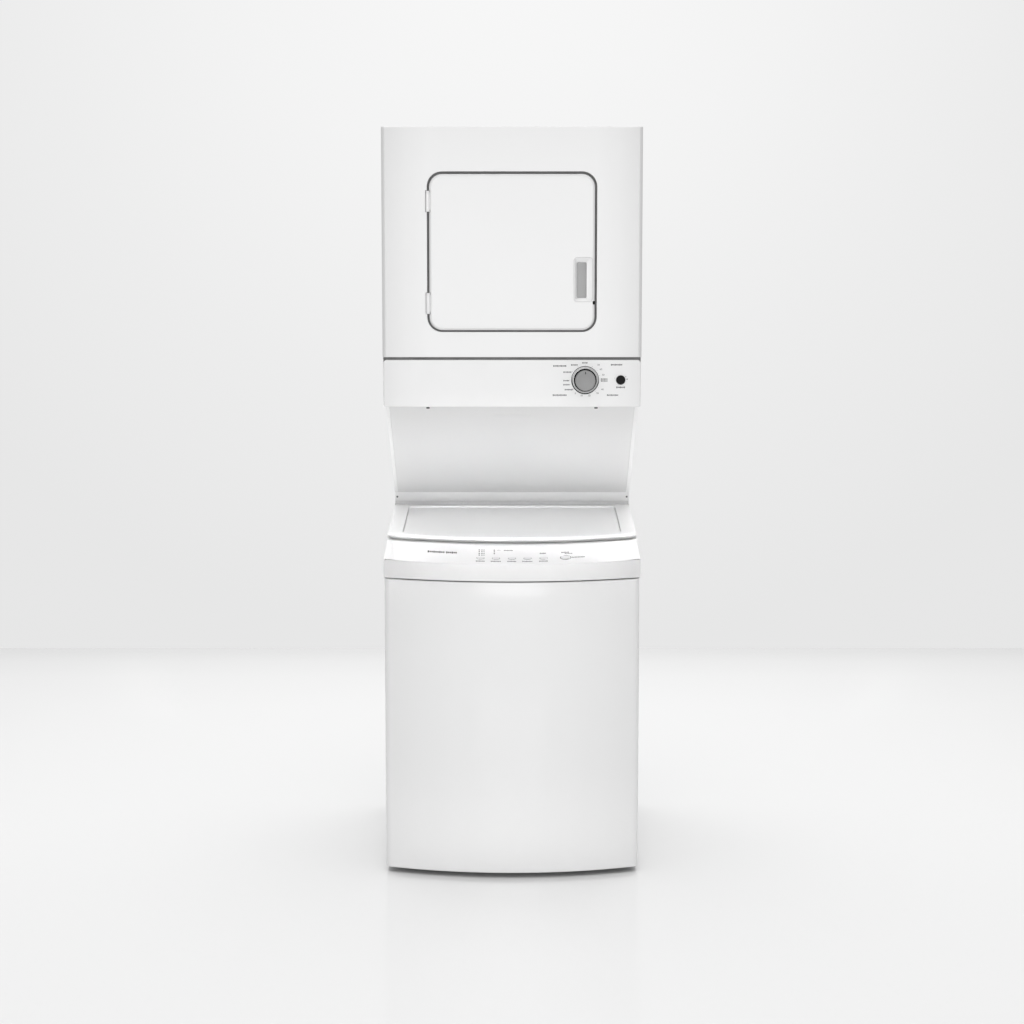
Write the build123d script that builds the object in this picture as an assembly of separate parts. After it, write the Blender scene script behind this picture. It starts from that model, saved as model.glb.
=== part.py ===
from build123d import *
import os
from math import atan, cos, radians, sin, sqrt, tan

# Stacked laundry centre: an electric dryer above a compact top-loading washer.
# Millimetres. +Z is up, the front faces -Y, and the origin is the centre of the
# footprint on the floor.

# ---- driving dimensions -------------------------------------------------------

SHEET = 1.5                  # cabinet sheet, as modelled
PLASTIC = 2.5                # moulded wall

DRYER_W = 606.0
FRONT_Y = -263.0             # flat front of the dryer
REAR_Y = 325.0               # back of both cabinets
DRYER_TOP = 1766.0
DRYER_BOTTOM = 1116.0
FRONT_RETURN = 20.0          # depth of the front panel's folded edges
EDGE_R = 8.0                 # vertical front edges

CONSOLE_W = 601.0
CONSOLE_TOP = 1227.2
CONSOLE_DEPTH = 22.0
SEAM = 6.5                   # shadow gap between console and dryer front

OPENING_W = 395.0            # door opening in the dryer front
OPENING_LOW = 1292.2
OPENING_HIGH = 1663.6
OPENING_R = 35.0
DOOR_W = 385.5
DOOR_LOW = 1296.2
DOOR_HIGH = 1658.0
DOOR_R = 31.0
DOOR_PROUD = 2.0
DOOR_BACK = FRONT_Y + 18.0

HINGE_X = -195.2
HINGE_Y = FRONT_Y - 1.0
HINGE_Z = (1595.0, 1359.0)
HINGE_LEN = 48.0
KNUCKLE_R = 4.8
HINGE_SLOT = 5.8             # half width of the notch round each hinge
PIN_R = 2.5
RUNNING = 0.05               # radial clearance of shafts and pins

CUP_X = (143.7, 187.8)       # recessed door handle
CUP_Z = (1362.6, 1465.7)
CUP_DEPTH = 17.0
POCKET_X = (150.2, 173.4)    # finger pocket inside it
POCKET_DEPTH = 14.5
LIP_REACH = 7.6              # the pocket runs on this far behind the grab lip

KNOB_X = 171.0
BUTTON_X = 254.3
CONTROL_Z = 1180.0
SKIRT_R = 31.5
CAP_R = 24.3
KNOB_REACH = 33.0
START_R = 10.8
START_TRAVEL = 3.0

DRUM_Z = 1478.0
DRUM_R = 270.0
DRUM_FRONT = -200.0
DRUM_BACK = 262.0
MOUTH_R = 195.0
BULKHEAD_Y = FRONT_Y + 24.0
REAR_BULKHEAD_Y = 268.0
PORT_W = 330.0
PORT_H = 280.0
PORT_R = 80.0
LINT_Y = (BULKHEAD_Y + 11, BULKHEAD_Y + 21)
LINT_TOP = DRUM_Z - PORT_H / 2

MOTOR_X = 205.0
MOTOR_Z = 1190.0
PULLEY_R = 14.0
SHAFT_R = 6.0
BLOWER_R = 56.0
EXHAUST_X = -130.0
EXHAUST_Z = 1172.0
EXHAUST_R = 50.8
EXHAUST_END = 350.0

STAND_X = 298.0              # outer face of the stand's side brackets
FLANGE = 8.0
SLOPE_TOP = (-218.0, 1116.0) # slanted recess panel, as (Y, Z)
SLOPE_END = (158.0, 860.0)
SILL_END = (168.0, 836.0)

SIDE_X = 299.0               # washer cabinet
SIDE_FRONT = -262.0
BASE_Z = 11.5
BASE_TOP = 47.0
WASHER_TOP = 831.0
LID_TILT = 3.0
LID_X = 298.0
LID_REAR = 158.0
LID_REAR_Z = 830.0
LID_CORNER = -214.0
LID_APEX = -269.0
LID_THICK = 14.0
LID_SKIN = 4.0
LID_GAP = 1.8                # between the lid's rim and what lies under it
DECK_DROP = 16.0             # deck top below the lid's top face
LID_AXIS = (165.0, 822.0)
DECK_HOLE_Y = -17.0
INSET_X = 261.0
INSET_FRONT = -201.0
INSET_REAR = 128.0

FASCIA_LOW = 757.0           # slanted washer console
# corner Y, apex Y, facet X, facet Y and side X of the console's foot and top
FASCIA_FOOT = (-285.0, -350.0, 274.0, -262.0, 303.0)
FASCIA_TOP = (-221.0, -282.0, 284.0, -206.0, 297.0)
FASCIA_BACK = -196.0
APRON_LOW = 715.0
APRON_APEX = -345.0          # at its upper edge
APRON_WALL = 3.0
PANEL_HIGH = 712.0
PANEL_X = 302.0
PANEL_CORNER = -278.0
PANEL_APEX = -335.0

TUB_R = 262.0
TUB_LOW = 190.0
TUB_HIGH = 735.0
BASKET_R = 243.0
BASKET_LOW = 207.0
BASKET_HIGH = 702.0
RING_HIGH = 732.0
RING_INNER = 205.0
AGITATOR_LOW = 222.0
AGITATOR_HIGH = 640.0
DRIVE_SHAFT_R = 12.0
AGITATOR_SHAFT_R = 7.0

KEY_X = (-73.7, -37.4, 0.0, 36.3, 73.7)
KEY_SIZE = (16.0, 7.0)
START_KEY_X = 125.8
START_KEY_SIZE = (22.0, 10.0)
KEY_TRAVEL = 1.0

INLET_X = (-150.0, -90.0)
INLET_Z = 780.0
INLET_R = 13.2
DRAIN_X = -200.0
DRAIN_Z = 100.0
DRAIN_R = 13.0
PORT_END = 347.0
NECK = 0.8                   # step behind each port, down to where it passes the panel
NECK_END = 1.0

FOOT_X = 268.0
FOOT_Y = (-228.0, 292.0)

os.makedirs("parts", exist_ok=True)


# ---- helpers ---------------------------------------------------------------------

def save(name, *solids):
    """Write one sub-part; several solids stay separate inside it."""
    shape = solids[0] if len(solids) == 1 else Compound(children=list(solids))
    export_step(shape, f"parts/{name}.step")


def block(x, y, z):
    """A box from three (low, high) pairs."""
    size = [high - low for low, high in (x, y, z)]
    middle = [(high + low) / 2 for low, high in (x, y, z)]
    return Pos(*middle) * Box(*size)


def rod(axis, radius, low, high, a, b):
    """A cylinder along X, Y or Z; a and b place it on the other two axes, in order."""
    length = high - low
    middle = (low + high) / 2
    if axis == "X":
        return Pos(middle, a, b) * Rot(0, 90, 0) * Cylinder(radius, length)
    if axis == "Y":
        return Pos(a, middle, b) * Rot(90, 0, 0) * Cylinder(radius, length)
    return Pos(a, b, middle) * Cylinder(radius, length)


def tube(axis, outer, inner, low, high, a, b):
    return rod(axis, outer, low, high, a, b) - rod(axis, inner, low - 1, high + 1, a, b)


def front_slab(width, low_z, high_z, radius, y_front, y_back, x_middle=0.0):
    """A rounded rectangle seen from the front, from y_front back to y_back."""
    plane = Plane(origin=(x_middle, y_back, (low_z + high_z) / 2), z_dir=(0, -1, 0), x_dir=(1, 0, 0))
    outline = plane * RectangleRounded(width, high_z - low_z, radius)
    return extrude(outline, amount=y_back - y_front)


def side_profile(points, x_low, x_high):
    """A closed (Y, Z) outline carried from x_low to x_high."""
    plane = Plane(origin=(x_low, 0, 0), z_dir=(1, 0, 0), x_dir=(0, 1, 0))
    return extrude(plane * make_face(Polyline(*points, close=True)), amount=x_high - x_low)


def slope_z(y):
    """Height of the slanted recess panel's face at depth y."""
    share = (y - SLOPE_TOP[0]) / (SLOPE_END[0] - SLOPE_TOP[0])
    return SLOPE_TOP[1] + share * (SLOPE_END[1] - SLOPE_TOP[1])


def lid_z(y):
    """Height of the closed lid's top face at depth y."""
    return LID_REAR_Z - (LID_REAR - y) * tan(radians(LID_TILT))


def tilted(shape):
    """Tilt a shape made level with the lid's rear edge to the lid's slope."""
    pivot = (0, LID_REAR, LID_REAR_Z)
    return Pos(*pivot) * Rot(LID_TILT, 0, 0) * Pos(*[-v for v in pivot]) * shape


def bow_face(x, corner_y, apex_y, back_y, z):
    """A level face with a bowed front edge and a straight back edge."""
    bow = ThreePointArc((-x, corner_y, z), (0, apex_y, z), (x, corner_y, z))
    rest = Polyline((x, corner_y, z), (x, back_y, z), (-x, back_y, z), (-x, corner_y, z))
    return make_face(bow + rest)


def bow_block(x, corner_y, apex_y, back_y, low_z, high_z):
    return extrude(bow_face(x, corner_y, apex_y, back_y, low_z), amount=high_z - low_z, dir=(0, 0, 1))


def mirrored(shape):
    return mirror(shape, about=Plane.YZ)


# ---- washer cabinet -------------------------------------------------------------

def base_frame():
    outer = block((-SIDE_X + 2, SIDE_X - 2), (SIDE_FRONT + 6, REAR_Y - 2), (BASE_Z, BASE_TOP))
    inner = block((-SIDE_X + 34, SIDE_X - 34), (SIDE_FRONT + 44, REAR_Y - 34), (0, 100))
    frame = outer - inner
    for y in (-60, 120):
        frame += block((-SIDE_X + 20, SIDE_X - 20), (y - 20, y + 20), (BASE_TOP - 12, BASE_TOP))
    for x in (-FOOT_X, FOOT_X):
        for y in FOOT_Y:
            frame -= rod("Z", 5.4, 0, 100, x, y)
    save("base_frame", frame)


def leveling_feet():
    feet = []
    for x in (-FOOT_X, FOOT_X):
        for y in FOOT_Y:
            pad = rod("Z", 19, 0, 9, x, y)
            stem = rod("Z", 5.3, 5, BASE_TOP + 12, x, y)
            nut = rod("Z", 11, 8, BASE_Z - 0.2, x, y)
            feet.append(pad + stem + nut)
    save("leveling_feet", *feet)


def washer_side(name, sign):
    top = [(LID_REAR + 6, WASHER_TOP - 4), (LID_REAR + 6, lid_z(LID_REAR) - DECK_DROP)]
    top.append((FASCIA_BACK, lid_z(FASCIA_BACK) - DECK_DROP))
    outline = [(SIDE_FRONT, BASE_Z), (REAR_Y, BASE_Z), (REAR_Y, WASHER_TOP - 4)] + top
    outline += [(FASCIA_BACK, PANEL_HIGH), (SIDE_FRONT, PANEL_HIGH)]
    panel = side_profile(outline, SIDE_X - SHEET, SIDE_X)
    panel += block((SIDE_X - 18, SIDE_X), (REAR_Y - SHEET, REAR_Y), (BASE_Z, WASHER_TOP - 4))
    panel += block((SIDE_X - 18, SIDE_X), (SIDE_FRONT, SIDE_FRONT + SHEET), (BASE_Z, PANEL_HIGH))
    save(name, panel if sign > 0 else mirrored(panel))


def rear_panel():
    panel = block((-SIDE_X + 18.2, SIDE_X - 18.2), (REAR_Y - SHEET, REAR_Y), (BASE_TOP, WASHER_TOP))
    panel += block((-STAND_X, STAND_X), (REAR_Y - SHEET, REAR_Y), (WASHER_TOP, DRYER_BOTTOM))
    for x in INLET_X:
        panel -= rod("Y", INLET_R + 1, REAR_Y - 9, REAR_Y + 9, x, INLET_Z)
    panel -= rod("Y", DRAIN_R + 1, REAR_Y - 9, REAR_Y + 9, DRAIN_X, DRAIN_Z)
    for z in (420, 560):
        rib = block((-210, 210), (REAR_Y - 0.2, REAR_Y + 3), (z - 6, z + 6))
        panel += rib
    save("rear_panel", panel)


def washer_front_panel():
    outer = bow_block(PANEL_X, PANEL_CORNER, PANEL_APEX, SIDE_FRONT - 0.3, BASE_Z, PANEL_HIGH)
    sharp = [e for e in outer.edges().filter_by(Axis.Z) if e.center().Y < PANEL_CORNER + 3]
    outer = fillet(sharp, 12)
    inner = bow_block(PANEL_X - SHEET, PANEL_CORNER + SHEET, PANEL_APEX + SHEET, SIDE_FRONT + 5,
                      BASE_Z - 5, PANEL_HIGH - SHEET)
    edges = [e for e in inner.edges().filter_by(Axis.Z) if e.center().Y < PANEL_CORNER + 3]
    inner = fillet(edges, 11)
    save("washer_front_panel", outer - inner)


def washer_apron():
    def outline(wall, back, low_z, high_z):
        corner = PANEL_CORNER + wall
        low = bow_face(PANEL_X + 0.5 - wall, corner, PANEL_APEX - 2 + wall, back, low_z)
        high = bow_face(PANEL_X + 1 - wall, corner + 1, APRON_APEX + wall, back, high_z)
        return loft([low, high], ruled=True)

    outer = outline(0, FASCIA_BACK, APRON_LOW, FASCIA_LOW - 0.3)
    inner = outline(APRON_WALL, FASCIA_BACK + 9, APRON_LOW - 0.01, FASCIA_LOW)
    save("washer_apron", outer - inner)


def fascia_face(wall, drop, top):
    """The washer console's outline: level at its lower edge, or along the lid at its top."""
    if top:
        corner, apex, facet_x, facet_y, side_x = FASCIA_TOP
    else:
        corner, apex, facet_x, facet_y, side_x = FASCIA_FOOT

    def point(x, y):
        z = lid_z(y) - LID_THICK - LID_GAP if top else FASCIA_LOW
        return x, y, z - drop

    facet_x, side_x = facet_x - 0.6 * wall, side_x - wall
    corner, apex, facet_y = corner + wall, apex + wall, facet_y + wall
    back = FASCIA_BACK + (12 if wall else 0)
    bow = ThreePointArc(point(-facet_x, corner), point(0, apex), point(facet_x, corner))
    rest = Polyline(point(facet_x, corner), point(side_x, facet_y), point(side_x, back),
                    point(-side_x, back), point(-side_x, facet_y), point(-facet_x, corner))
    return make_face(bow + rest)


def key_frame(x):
    """The plane of the slanted console face at x, about a third of the way up."""
    share = 0.32
    low = bow_y(x, FASCIA_FOOT[2], FASCIA_FOOT[0], FASCIA_FOOT[1])
    high = bow_y(x, FASCIA_TOP[2], FASCIA_TOP[0], FASCIA_TOP[1])
    top_z = lid_z(high) - LID_THICK - LID_GAP
    slope = atan((top_z - FASCIA_LOW) / (high - low))
    origin = (x, low + share * (high - low), FASCIA_LOW + share * (top_z - FASCIA_LOW))
    return Plane(origin=origin, x_dir=(1, 0, 0), z_dir=(0, -sin(slope), cos(slope)))


def bow_y(x, half, corner, apex):
    """Depth at x of the arc through the two corners and the apex."""
    sag = corner - apex
    radius = (half * half + sag * sag) / (2 * sag)
    return apex + radius - sqrt(radius * radius - x * x)


def key_solid(x, size, grow, low, high):
    outline = key_frame(x) * SlotOverall(size[0] + 2 * grow, size[1] + 2 * grow)
    base = extrude(outline, amount=high)
    if low:
        base += extrude(outline, amount=-low)
    return base


def washer_console():
    outer = loft([fascia_face(0, 0, False), fascia_face(0, 0, True)], ruled=True)
    core = loft([fascia_face(3.4, 4, False), fascia_face(3.4, 2.6, True)], ruled=True)
    shell = outer - core
    for x in KEY_X:
        shell -= key_solid(x, KEY_SIZE, 0.35, 12, 8)
    shell -= key_solid(START_KEY_X, START_KEY_SIZE, 0.35, 12, 8)
    save("washer_console", shell)


def washer_keys():
    for number, x in enumerate(KEY_X, start=1):
        save(f"washer_key_{number}", key_solid(x, KEY_SIZE, 0, 8, 1.4))
    save("washer_start_key", key_solid(START_KEY_X, START_KEY_SIZE, 0, 8, 1.6))


def washer_deck():
    rear = LID_REAR - 5.5
    top = LID_REAR_Z - DECK_DROP
    plate = tilted(block((-LID_X + 1, LID_X - 1), (FASCIA_BACK + 0.5, rear), (top - 2.5, top)))
    hole = extrude(Pos(0, DECK_HOLE_Y, 700) * RectangleRounded(376, 330, 110), amount=200)
    wall = extrude(Pos(0, DECK_HOLE_Y, 752) * RectangleRounded(382, 336, 113), amount=90)
    above = tilted(block((-400, 400), (-400, 400), (top, top + 90)))
    deck = plate + (wall - above) - hole
    axis_y, axis_z = LID_AXIS
    for x in (-269, 269):
        ear = block((x - 3, x + 3), (rear - 6, axis_y + 3), (axis_z - 14, axis_z - 7))
        post = block((x - 3, x + 3), (axis_y - 4, axis_y + 3), (axis_z - 14, axis_z))
        deck += ear + post + rod("X", 6.3, x - 3, x + 3, axis_y, axis_z)
        deck -= rod("X", 4 + RUNNING, x - 9, x + 9, axis_y, axis_z)
    save("washer_deck", deck)


def washer_lid():
    low = LID_REAR_Z - LID_THICK
    slab = bow_block(LID_X, LID_CORNER, LID_APEX, LID_REAR, low, LID_REAR_Z)
    slab = fillet(slab.edges().group_by(Axis.Z)[-1], 3)
    slab -= bow_block(LID_X - 3, LID_CORNER + 4, LID_APEX + 4, LID_REAR - 3, low - 1, LID_REAR_Z - LID_SKIN)
    dish_plan = Pos(0, (INSET_FRONT + INSET_REAR) / 2, LID_REAR_Z - 1.8)
    slab -= extrude(dish_plan * RectangleRounded(2 * INSET_X, INSET_REAR - INSET_FRONT, 10), amount=10)
    lid = tilted(slab)
    axis_y, axis_z = LID_AXIS
    for x in (-259, 259):
        pin_end = x * 276 / 259
        lid += block((x - 3, x + 3), (axis_y - 10, axis_y), (axis_z - 4, axis_z + 4))
        lid += rod("X", 6, x - 3, x + 3, axis_y, axis_z)
        lid += rod("X", 4, min(x, pin_end), max(x, pin_end), axis_y, axis_z)
    save("washer_lid", lid)


# ---- washing mechanism --------------------------------------------------------

def outer_tub():
    tub = tube("Z", TUB_R, TUB_R - 3, TUB_LOW, TUB_HIGH, 0, 0)
    tub += rod("Z", TUB_R - 1, TUB_LOW, TUB_LOW + 4, 0, 0)
    tub += rod("Z", 34, TUB_LOW - 6, TUB_LOW + 8, 0, 0)
    for angle in (45, 135, 225, 315):
        ear = Pos(0, 0, 300) * Rot(0, 0, angle) * Pos(TUB_R + 17, 0, 0) * Box(38, 40, 8)
        ear -= Pos(0, 0, 300) * Rot(0, 0, angle) * Pos(TUB_R + 22, 0, 0) * Cylinder(5.4, 30)
        tub += ear
    tub += tube("Z", TUB_R, RING_INNER + 18, TUB_HIGH - 0.5, TUB_HIGH + 2.5, 0, 0)
    tub -= rod("Z", DRIVE_SHAFT_R + RUNNING, 0, 400, 0, 0)
    save("outer_tub", tub)


def suspension_rods():
    rods = []
    for angle in (45, 135, 225, 315):
        reach = TUB_R + 22
        x, y = reach * cos(radians(angle)), reach * sin(radians(angle))
        hanger = rod("Z", 5, 280, 745, x, y)
        hanger += rod("Z", 13, 262, 295.8, x, y)
        hanger += rod("Z", 9, 735, 748, x, y)
        rods.append(hanger)
    save("suspension_rods", *rods)


def wash_basket():
    basket = tube("Z", BASKET_R, BASKET_R - 2, BASKET_LOW, BASKET_HIGH, 0, 0)
    basket += rod("Z", BASKET_R - 1, BASKET_LOW, BASKET_LOW + 2, 0, 0)
    basket += rod("Z", 30, BASKET_LOW - 4, BASKET_LOW + 10, 0, 0)
    basket += rod("Z", DRIVE_SHAFT_R, 150, BASKET_LOW, 0, 0)
    basket -= rod("Z", AGITATOR_SHAFT_R + RUNNING, 0, 400, 0, 0)
    save("wash_basket", basket)
    ring = tube("Z", BASKET_R, RING_INNER, BASKET_HIGH, RING_HIGH, 0, 0)
    ring = fillet(ring.edges().group_by(Axis.Z)[-1], 8)
    save("balance_ring", ring)


def agitator():
    post = Pos(0, 0, (AGITATOR_LOW + AGITATOR_HIGH) / 2) * Cone(52, 34, AGITATOR_HIGH - AGITATOR_LOW)
    skirt = Pos(0, 0, AGITATOR_LOW + 30) * Cone(165, 50, 60)
    shape = post + skirt
    for angle in (0, 90, 180, 270):
        vane = side_profile([(40, 240), (150, 236), (150, 262), (88, 330), (60, 560), (34, 600)], -3, 3)
        shape += Rot(0, 0, angle) * vane
    shape += rod("Z", AGITATOR_SHAFT_R, 135, AGITATOR_LOW + 4, 0, 0)
    save("agitator", shape)


def washer_drive():
    """Gearcase and motor on a bridge plate that stands on the base rails."""
    half, plate_low, plate_high = 90, 80, 92
    case = rod("Z", 72, plate_high - 4, 176, 0, 0)
    case += block((-half, half), (-40, 130), (plate_low, plate_high))
    case += rod("Z", 48, plate_high, 170, 0, 125)
    case -= rod("Z", DRIVE_SHAFT_R + RUNNING, 100, 400, 0, 0)
    for x in (-half + 7, half - 7):
        case += block((x - 5, x + 5), (-39, 129), (BASE_TOP + 1, plate_low + 4))
    save("washer_drive", case)


def drain_pump():
    pump_y = REAR_Y - 80
    body = rod("Z", 42, BASE_TOP + 1, 92, DRAIN_X, pump_y) + rod("Z", 30, 92, 128, DRAIN_X, pump_y)
    spout = rod("Y", DRAIN_R - NECK, pump_y, REAR_Y + NECK_END, DRAIN_X, DRAIN_Z)
    spout += rod("Y", DRAIN_R, REAR_Y + NECK_END, PORT_END, DRAIN_X, DRAIN_Z)
    save("drain_pump", body + spout - rod("Y", DRAIN_R - 3, 290, PORT_END + 5, DRAIN_X, DRAIN_Z))


def inlet_valve():
    low, high = INLET_X
    body = block((low - 24, high + 24), (REAR_Y - 42, REAR_Y - 4), (INLET_Z - 20, INLET_Z + 20))
    for x in INLET_X:
        body += rod("Y", INLET_R - NECK, REAR_Y - 10, REAR_Y + NECK_END, x, INLET_Z)
        body += rod("Y", INLET_R, REAR_Y + NECK_END, PORT_END, x, INLET_Z)
        body += rod("Z", 14, INLET_Z + 18, INLET_Z + 38, x, REAR_Y - 24)
    for x in INLET_X:
        body -= rod("Y", 9, REAR_Y - 2, PORT_END + 5, x, INLET_Z)
    save("inlet_valve", body)


# ---- stand between the two machines ---------------------------------------------

def slope_normal():
    rise, run = SLOPE_TOP[1] - SLOPE_END[1], SLOPE_END[0] - SLOPE_TOP[0]
    length = sqrt(rise * rise + run * run)
    return rise / length, run / length


def behind(point, depth):
    """A point moved square to the slanted face, away from the recess."""
    ny, nz = slope_normal()
    return point[0] + depth * ny, point[1] + depth * nz


def recess_panel():
    top = (SLOPE_TOP[0] + 2.0, slope_z(SLOPE_TOP[0] + 2.0) - 0.2)
    outline = [top, SLOPE_END, behind(SLOPE_END, SHEET), behind(top, SHEET)]
    panel = side_profile(outline, -STAND_X + FLANGE + 0.4, STAND_X - FLANGE - 0.4)
    ny, nz = slope_normal()
    y = -151.0
    plane = Plane(origin=(0, y, slope_z(y)), x_dir=(1, 0, 0), z_dir=(0, -ny, -nz))
    panel += extrude(plane * RectangleRounded(89, 70, 8), amount=0.8)
    save("recess_panel", panel)


def sill_strip():
    outline = [SLOPE_END, SILL_END, (SILL_END[0] + SHEET, SILL_END[1]), (SLOPE_END[0] + SHEET, SLOPE_END[1])]
    strip = side_profile(outline, -STAND_X + 1.6, STAND_X - 1.6)
    save("sill_strip", strip)


def stand_side(name, sign):
    outline = [SLOPE_TOP, (REAR_Y - SHEET, SLOPE_TOP[1]), (REAR_Y - SHEET, WASHER_TOP)]
    outline += [(SILL_END[0], WASHER_TOP), SILL_END, SLOPE_END]
    panel = side_profile(outline, STAND_X - SHEET, STAND_X)
    lip = [SLOPE_TOP, SLOPE_END, behind(SLOPE_END, SHEET), (SLOPE_TOP[0] + 2.0, SLOPE_TOP[1])]
    panel += side_profile(lip, STAND_X - FLANGE, STAND_X)
    save(name, panel if sign > 0 else mirrored(panel))


def trim_screws():
    screws = []
    for x in (-197.0, 197.0):
        screws.append(rod("Z", 4, DRYER_BOTTOM - 3.5, DRYER_BOTTOM + 0.4, x, FRONT_Y + 6))
    for x in (-292.0, 292.0):
        screws.append(rod("Y", 2.4, 160.4, 164, x, 848))
    save("trim_screws", *screws)


# ---- dryer cabinet ------------------------------------------------------------------

def dryer_side(name, sign):
    edge = DRYER_W / 2
    panel = block((edge - SHEET, edge), (FRONT_Y + FRONT_RETURN, REAR_Y), (DRYER_BOTTOM, DRYER_TOP - SHEET))
    for y in (FRONT_Y + FRONT_RETURN, REAR_Y - SHEET):
        panel += block((edge - 16, edge), (y, y + SHEET), (CONSOLE_TOP + 8, DRYER_TOP - SHEET))
    save(name, panel if sign > 0 else mirrored(panel))


def dryer_top():
    edge = DRYER_W / 2
    plate = block((-edge, edge), (FRONT_Y, REAR_Y), (DRYER_TOP - SHEET, DRYER_TOP))
    corners = [e for e in plate.edges().filter_by(Axis.Z) if e.center().Y < 0]
    save("dryer_top", fillet(corners, EDGE_R))


def hinge_gap(z):
    half = HINGE_LEN / 2 + 1
    return block((HINGE_X - HINGE_SLOT, HINGE_X + HINGE_SLOT), (FRONT_Y - 9, FRONT_Y + 9), (z - half, z + half))


def dryer_front_panel():
    edge = DRYER_W / 2
    low, high = CONSOLE_TOP + SEAM, DRYER_TOP - SHEET
    outer = block((-edge, edge), (FRONT_Y, FRONT_Y + FRONT_RETURN), (low, high))
    outer = fillet([e for e in outer.edges().filter_by(Axis.Z) if e.center().Y < FRONT_Y + 1], EDGE_R)
    inner = block((-edge + SHEET, edge - SHEET), (FRONT_Y + SHEET, FRONT_Y + 40), (low + SHEET, high - SHEET))
    inner = fillet([e for e in inner.edges().filter_by(Axis.Z) if e.center().Y < FRONT_Y + 5], EDGE_R - SHEET)
    panel = outer - inner
    rim = front_slab(OPENING_W + 3, OPENING_LOW - SHEET, OPENING_HIGH + SHEET, OPENING_R + SHEET, FRONT_Y, BULKHEAD_Y)
    panel += rim
    panel -= front_slab(OPENING_W, OPENING_LOW, OPENING_HIGH, OPENING_R, FRONT_Y - 5, BULKHEAD_Y + 5)
    for z in HINGE_Z:
        panel -= hinge_gap(z)
    save("dryer_front_panel", panel)


def dryer_rear_panel():
    edge = DRYER_W / 2 - 16.2
    panel = block((-edge, edge), (REAR_Y - SHEET, REAR_Y), (DRYER_BOTTOM, DRYER_TOP - SHEET))
    panel -= rod("Y", EXHAUST_R + 1.5, REAR_Y - 9, REAR_Y + 9, EXHAUST_X, EXHAUST_Z)
    for row in range(5):
        for column in range(6):
            x, z = 70 + column * 26, 1560 + row * 22
            panel -= block((x - 9, x + 9), (REAR_Y - 9, REAR_Y + 9), (z - 3, z + 3))
    for z in (1330, 1430):
        panel += block((-200, 200), (REAR_Y - 0.2, REAR_Y + 3), (z - 6, z + 6))
    save("dryer_rear_panel", panel)


def dryer_floor():
    edge = DRYER_W / 2 - SHEET - 0.1
    plate = block((-edge, edge), (FRONT_Y + CONSOLE_DEPTH + 0.5, REAR_Y - SHEET), (DRYER_BOTTOM, DRYER_BOTTOM + 2))
    save("dryer_floor", plate)


def dryer_console():
    edge = CONSOLE_W / 2
    shell = front_slab(CONSOLE_W, DRYER_BOTTOM + 0.4, CONSOLE_TOP, 7, FRONT_Y, FRONT_Y + CONSOLE_DEPTH)
    shell = fillet(shell.faces().sort_by(Axis.Y)[0].edges(), 2)
    core = block((-edge + PLASTIC, edge - PLASTIC), (FRONT_Y + PLASTIC, FRONT_Y + 40),
                 (DRYER_BOTTOM + 0.4 + PLASTIC, CONSOLE_TOP - PLASTIC))
    shell -= core
    shell -= rod("Y", 9, FRONT_Y - 5, FRONT_Y + 9, KNOB_X, CONTROL_Z)
    shell -= rod("Y", START_R + 0.3, FRONT_Y - 5, FRONT_Y + 9, BUTTON_X, CONTROL_Z)
    save("dryer_console", shell)


def timer_body():
    low_y, high_y = FRONT_Y + PLASTIC + 0.2, FRONT_Y + 48
    body = block((KNOB_X - 32, KNOB_X + 32), (low_y + 8, high_y), (CONTROL_Z - 30, CONTROL_Z + 30))
    body += rod("Y", 8, low_y, low_y + 9, KNOB_X, CONTROL_Z)
    body -= rod("Y", 3 + RUNNING, low_y - 9, high_y - 10, KNOB_X, CONTROL_Z)
    save("timer_body", body)


def start_switch():
    low_y = FRONT_Y + PLASTIC + 0.2
    body = block((BUTTON_X - 13, BUTTON_X + 13), (low_y, low_y + 30), (CONTROL_Z - 13, CONTROL_Z + 13))
    body -= rod("Y", START_R + 0.3, low_y - 9, low_y + 12, BUTTON_X, CONTROL_Z)
    save("start_switch", body)


def start_button():
    face = FRONT_Y - 3.6
    button = rod("Y", START_R, face, FRONT_Y + 8, BUTTON_X, CONTROL_Z)
    button = fillet(button.faces().sort_by(Axis.Y)[0].edges(), 1)
    save("start_button", button)


def timer_knob():
    back = FRONT_Y - 0.8
    skirt = rod("Y", SKIRT_R, back - 7, back, KNOB_X, CONTROL_Z)
    skirt = fillet(skirt.faces().sort_by(Axis.Y)[0].edges(), 3.5)
    skirt -= rod("Y", CAP_R - 6, back - 20, back + 5, KNOB_X, CONTROL_Z)
    save("knob_skirt", skirt)
    plug = rod("Y", CAP_R - 6.1, back - 8, back, KNOB_X, CONTROL_Z)
    cap = rod("Y", CAP_R, FRONT_Y - KNOB_REACH, back - 7.1, KNOB_X, CONTROL_Z)
    cap = fillet(cap.faces().sort_by(Axis.Y)[0].edges(), 2.5)
    shaft = rod("Y", 3, back - 4, FRONT_Y + 36, KNOB_X, CONTROL_Z)
    save("knob_cap", cap + plug + shaft)


# ---- dryer door ----------------------------------------------------------------------

def door_panel():
    front = FRONT_Y - DOOR_PROUD
    outer = front_slab(DOOR_W, DOOR_LOW, DOOR_HIGH, DOOR_R, front, DOOR_BACK)
    outer = fillet(outer.faces().sort_by(Axis.Y)[0].edges(), 6)
    inner = front_slab(DOOR_W - 2 * SHEET, DOOR_LOW + SHEET, DOOR_HIGH - SHEET, DOOR_R - SHEET,
                       front + SHEET, DOOR_BACK + 5)
    inner = fillet(inner.faces().sort_by(Axis.Y)[0].edges(), 4.5)
    panel = outer - inner
    panel -= cup_slab(0.2, front - 5, FRONT_Y + 5)
    for z in HINGE_Z:
        panel -= hinge_gap(z)
    save("door_panel", panel)


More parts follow.
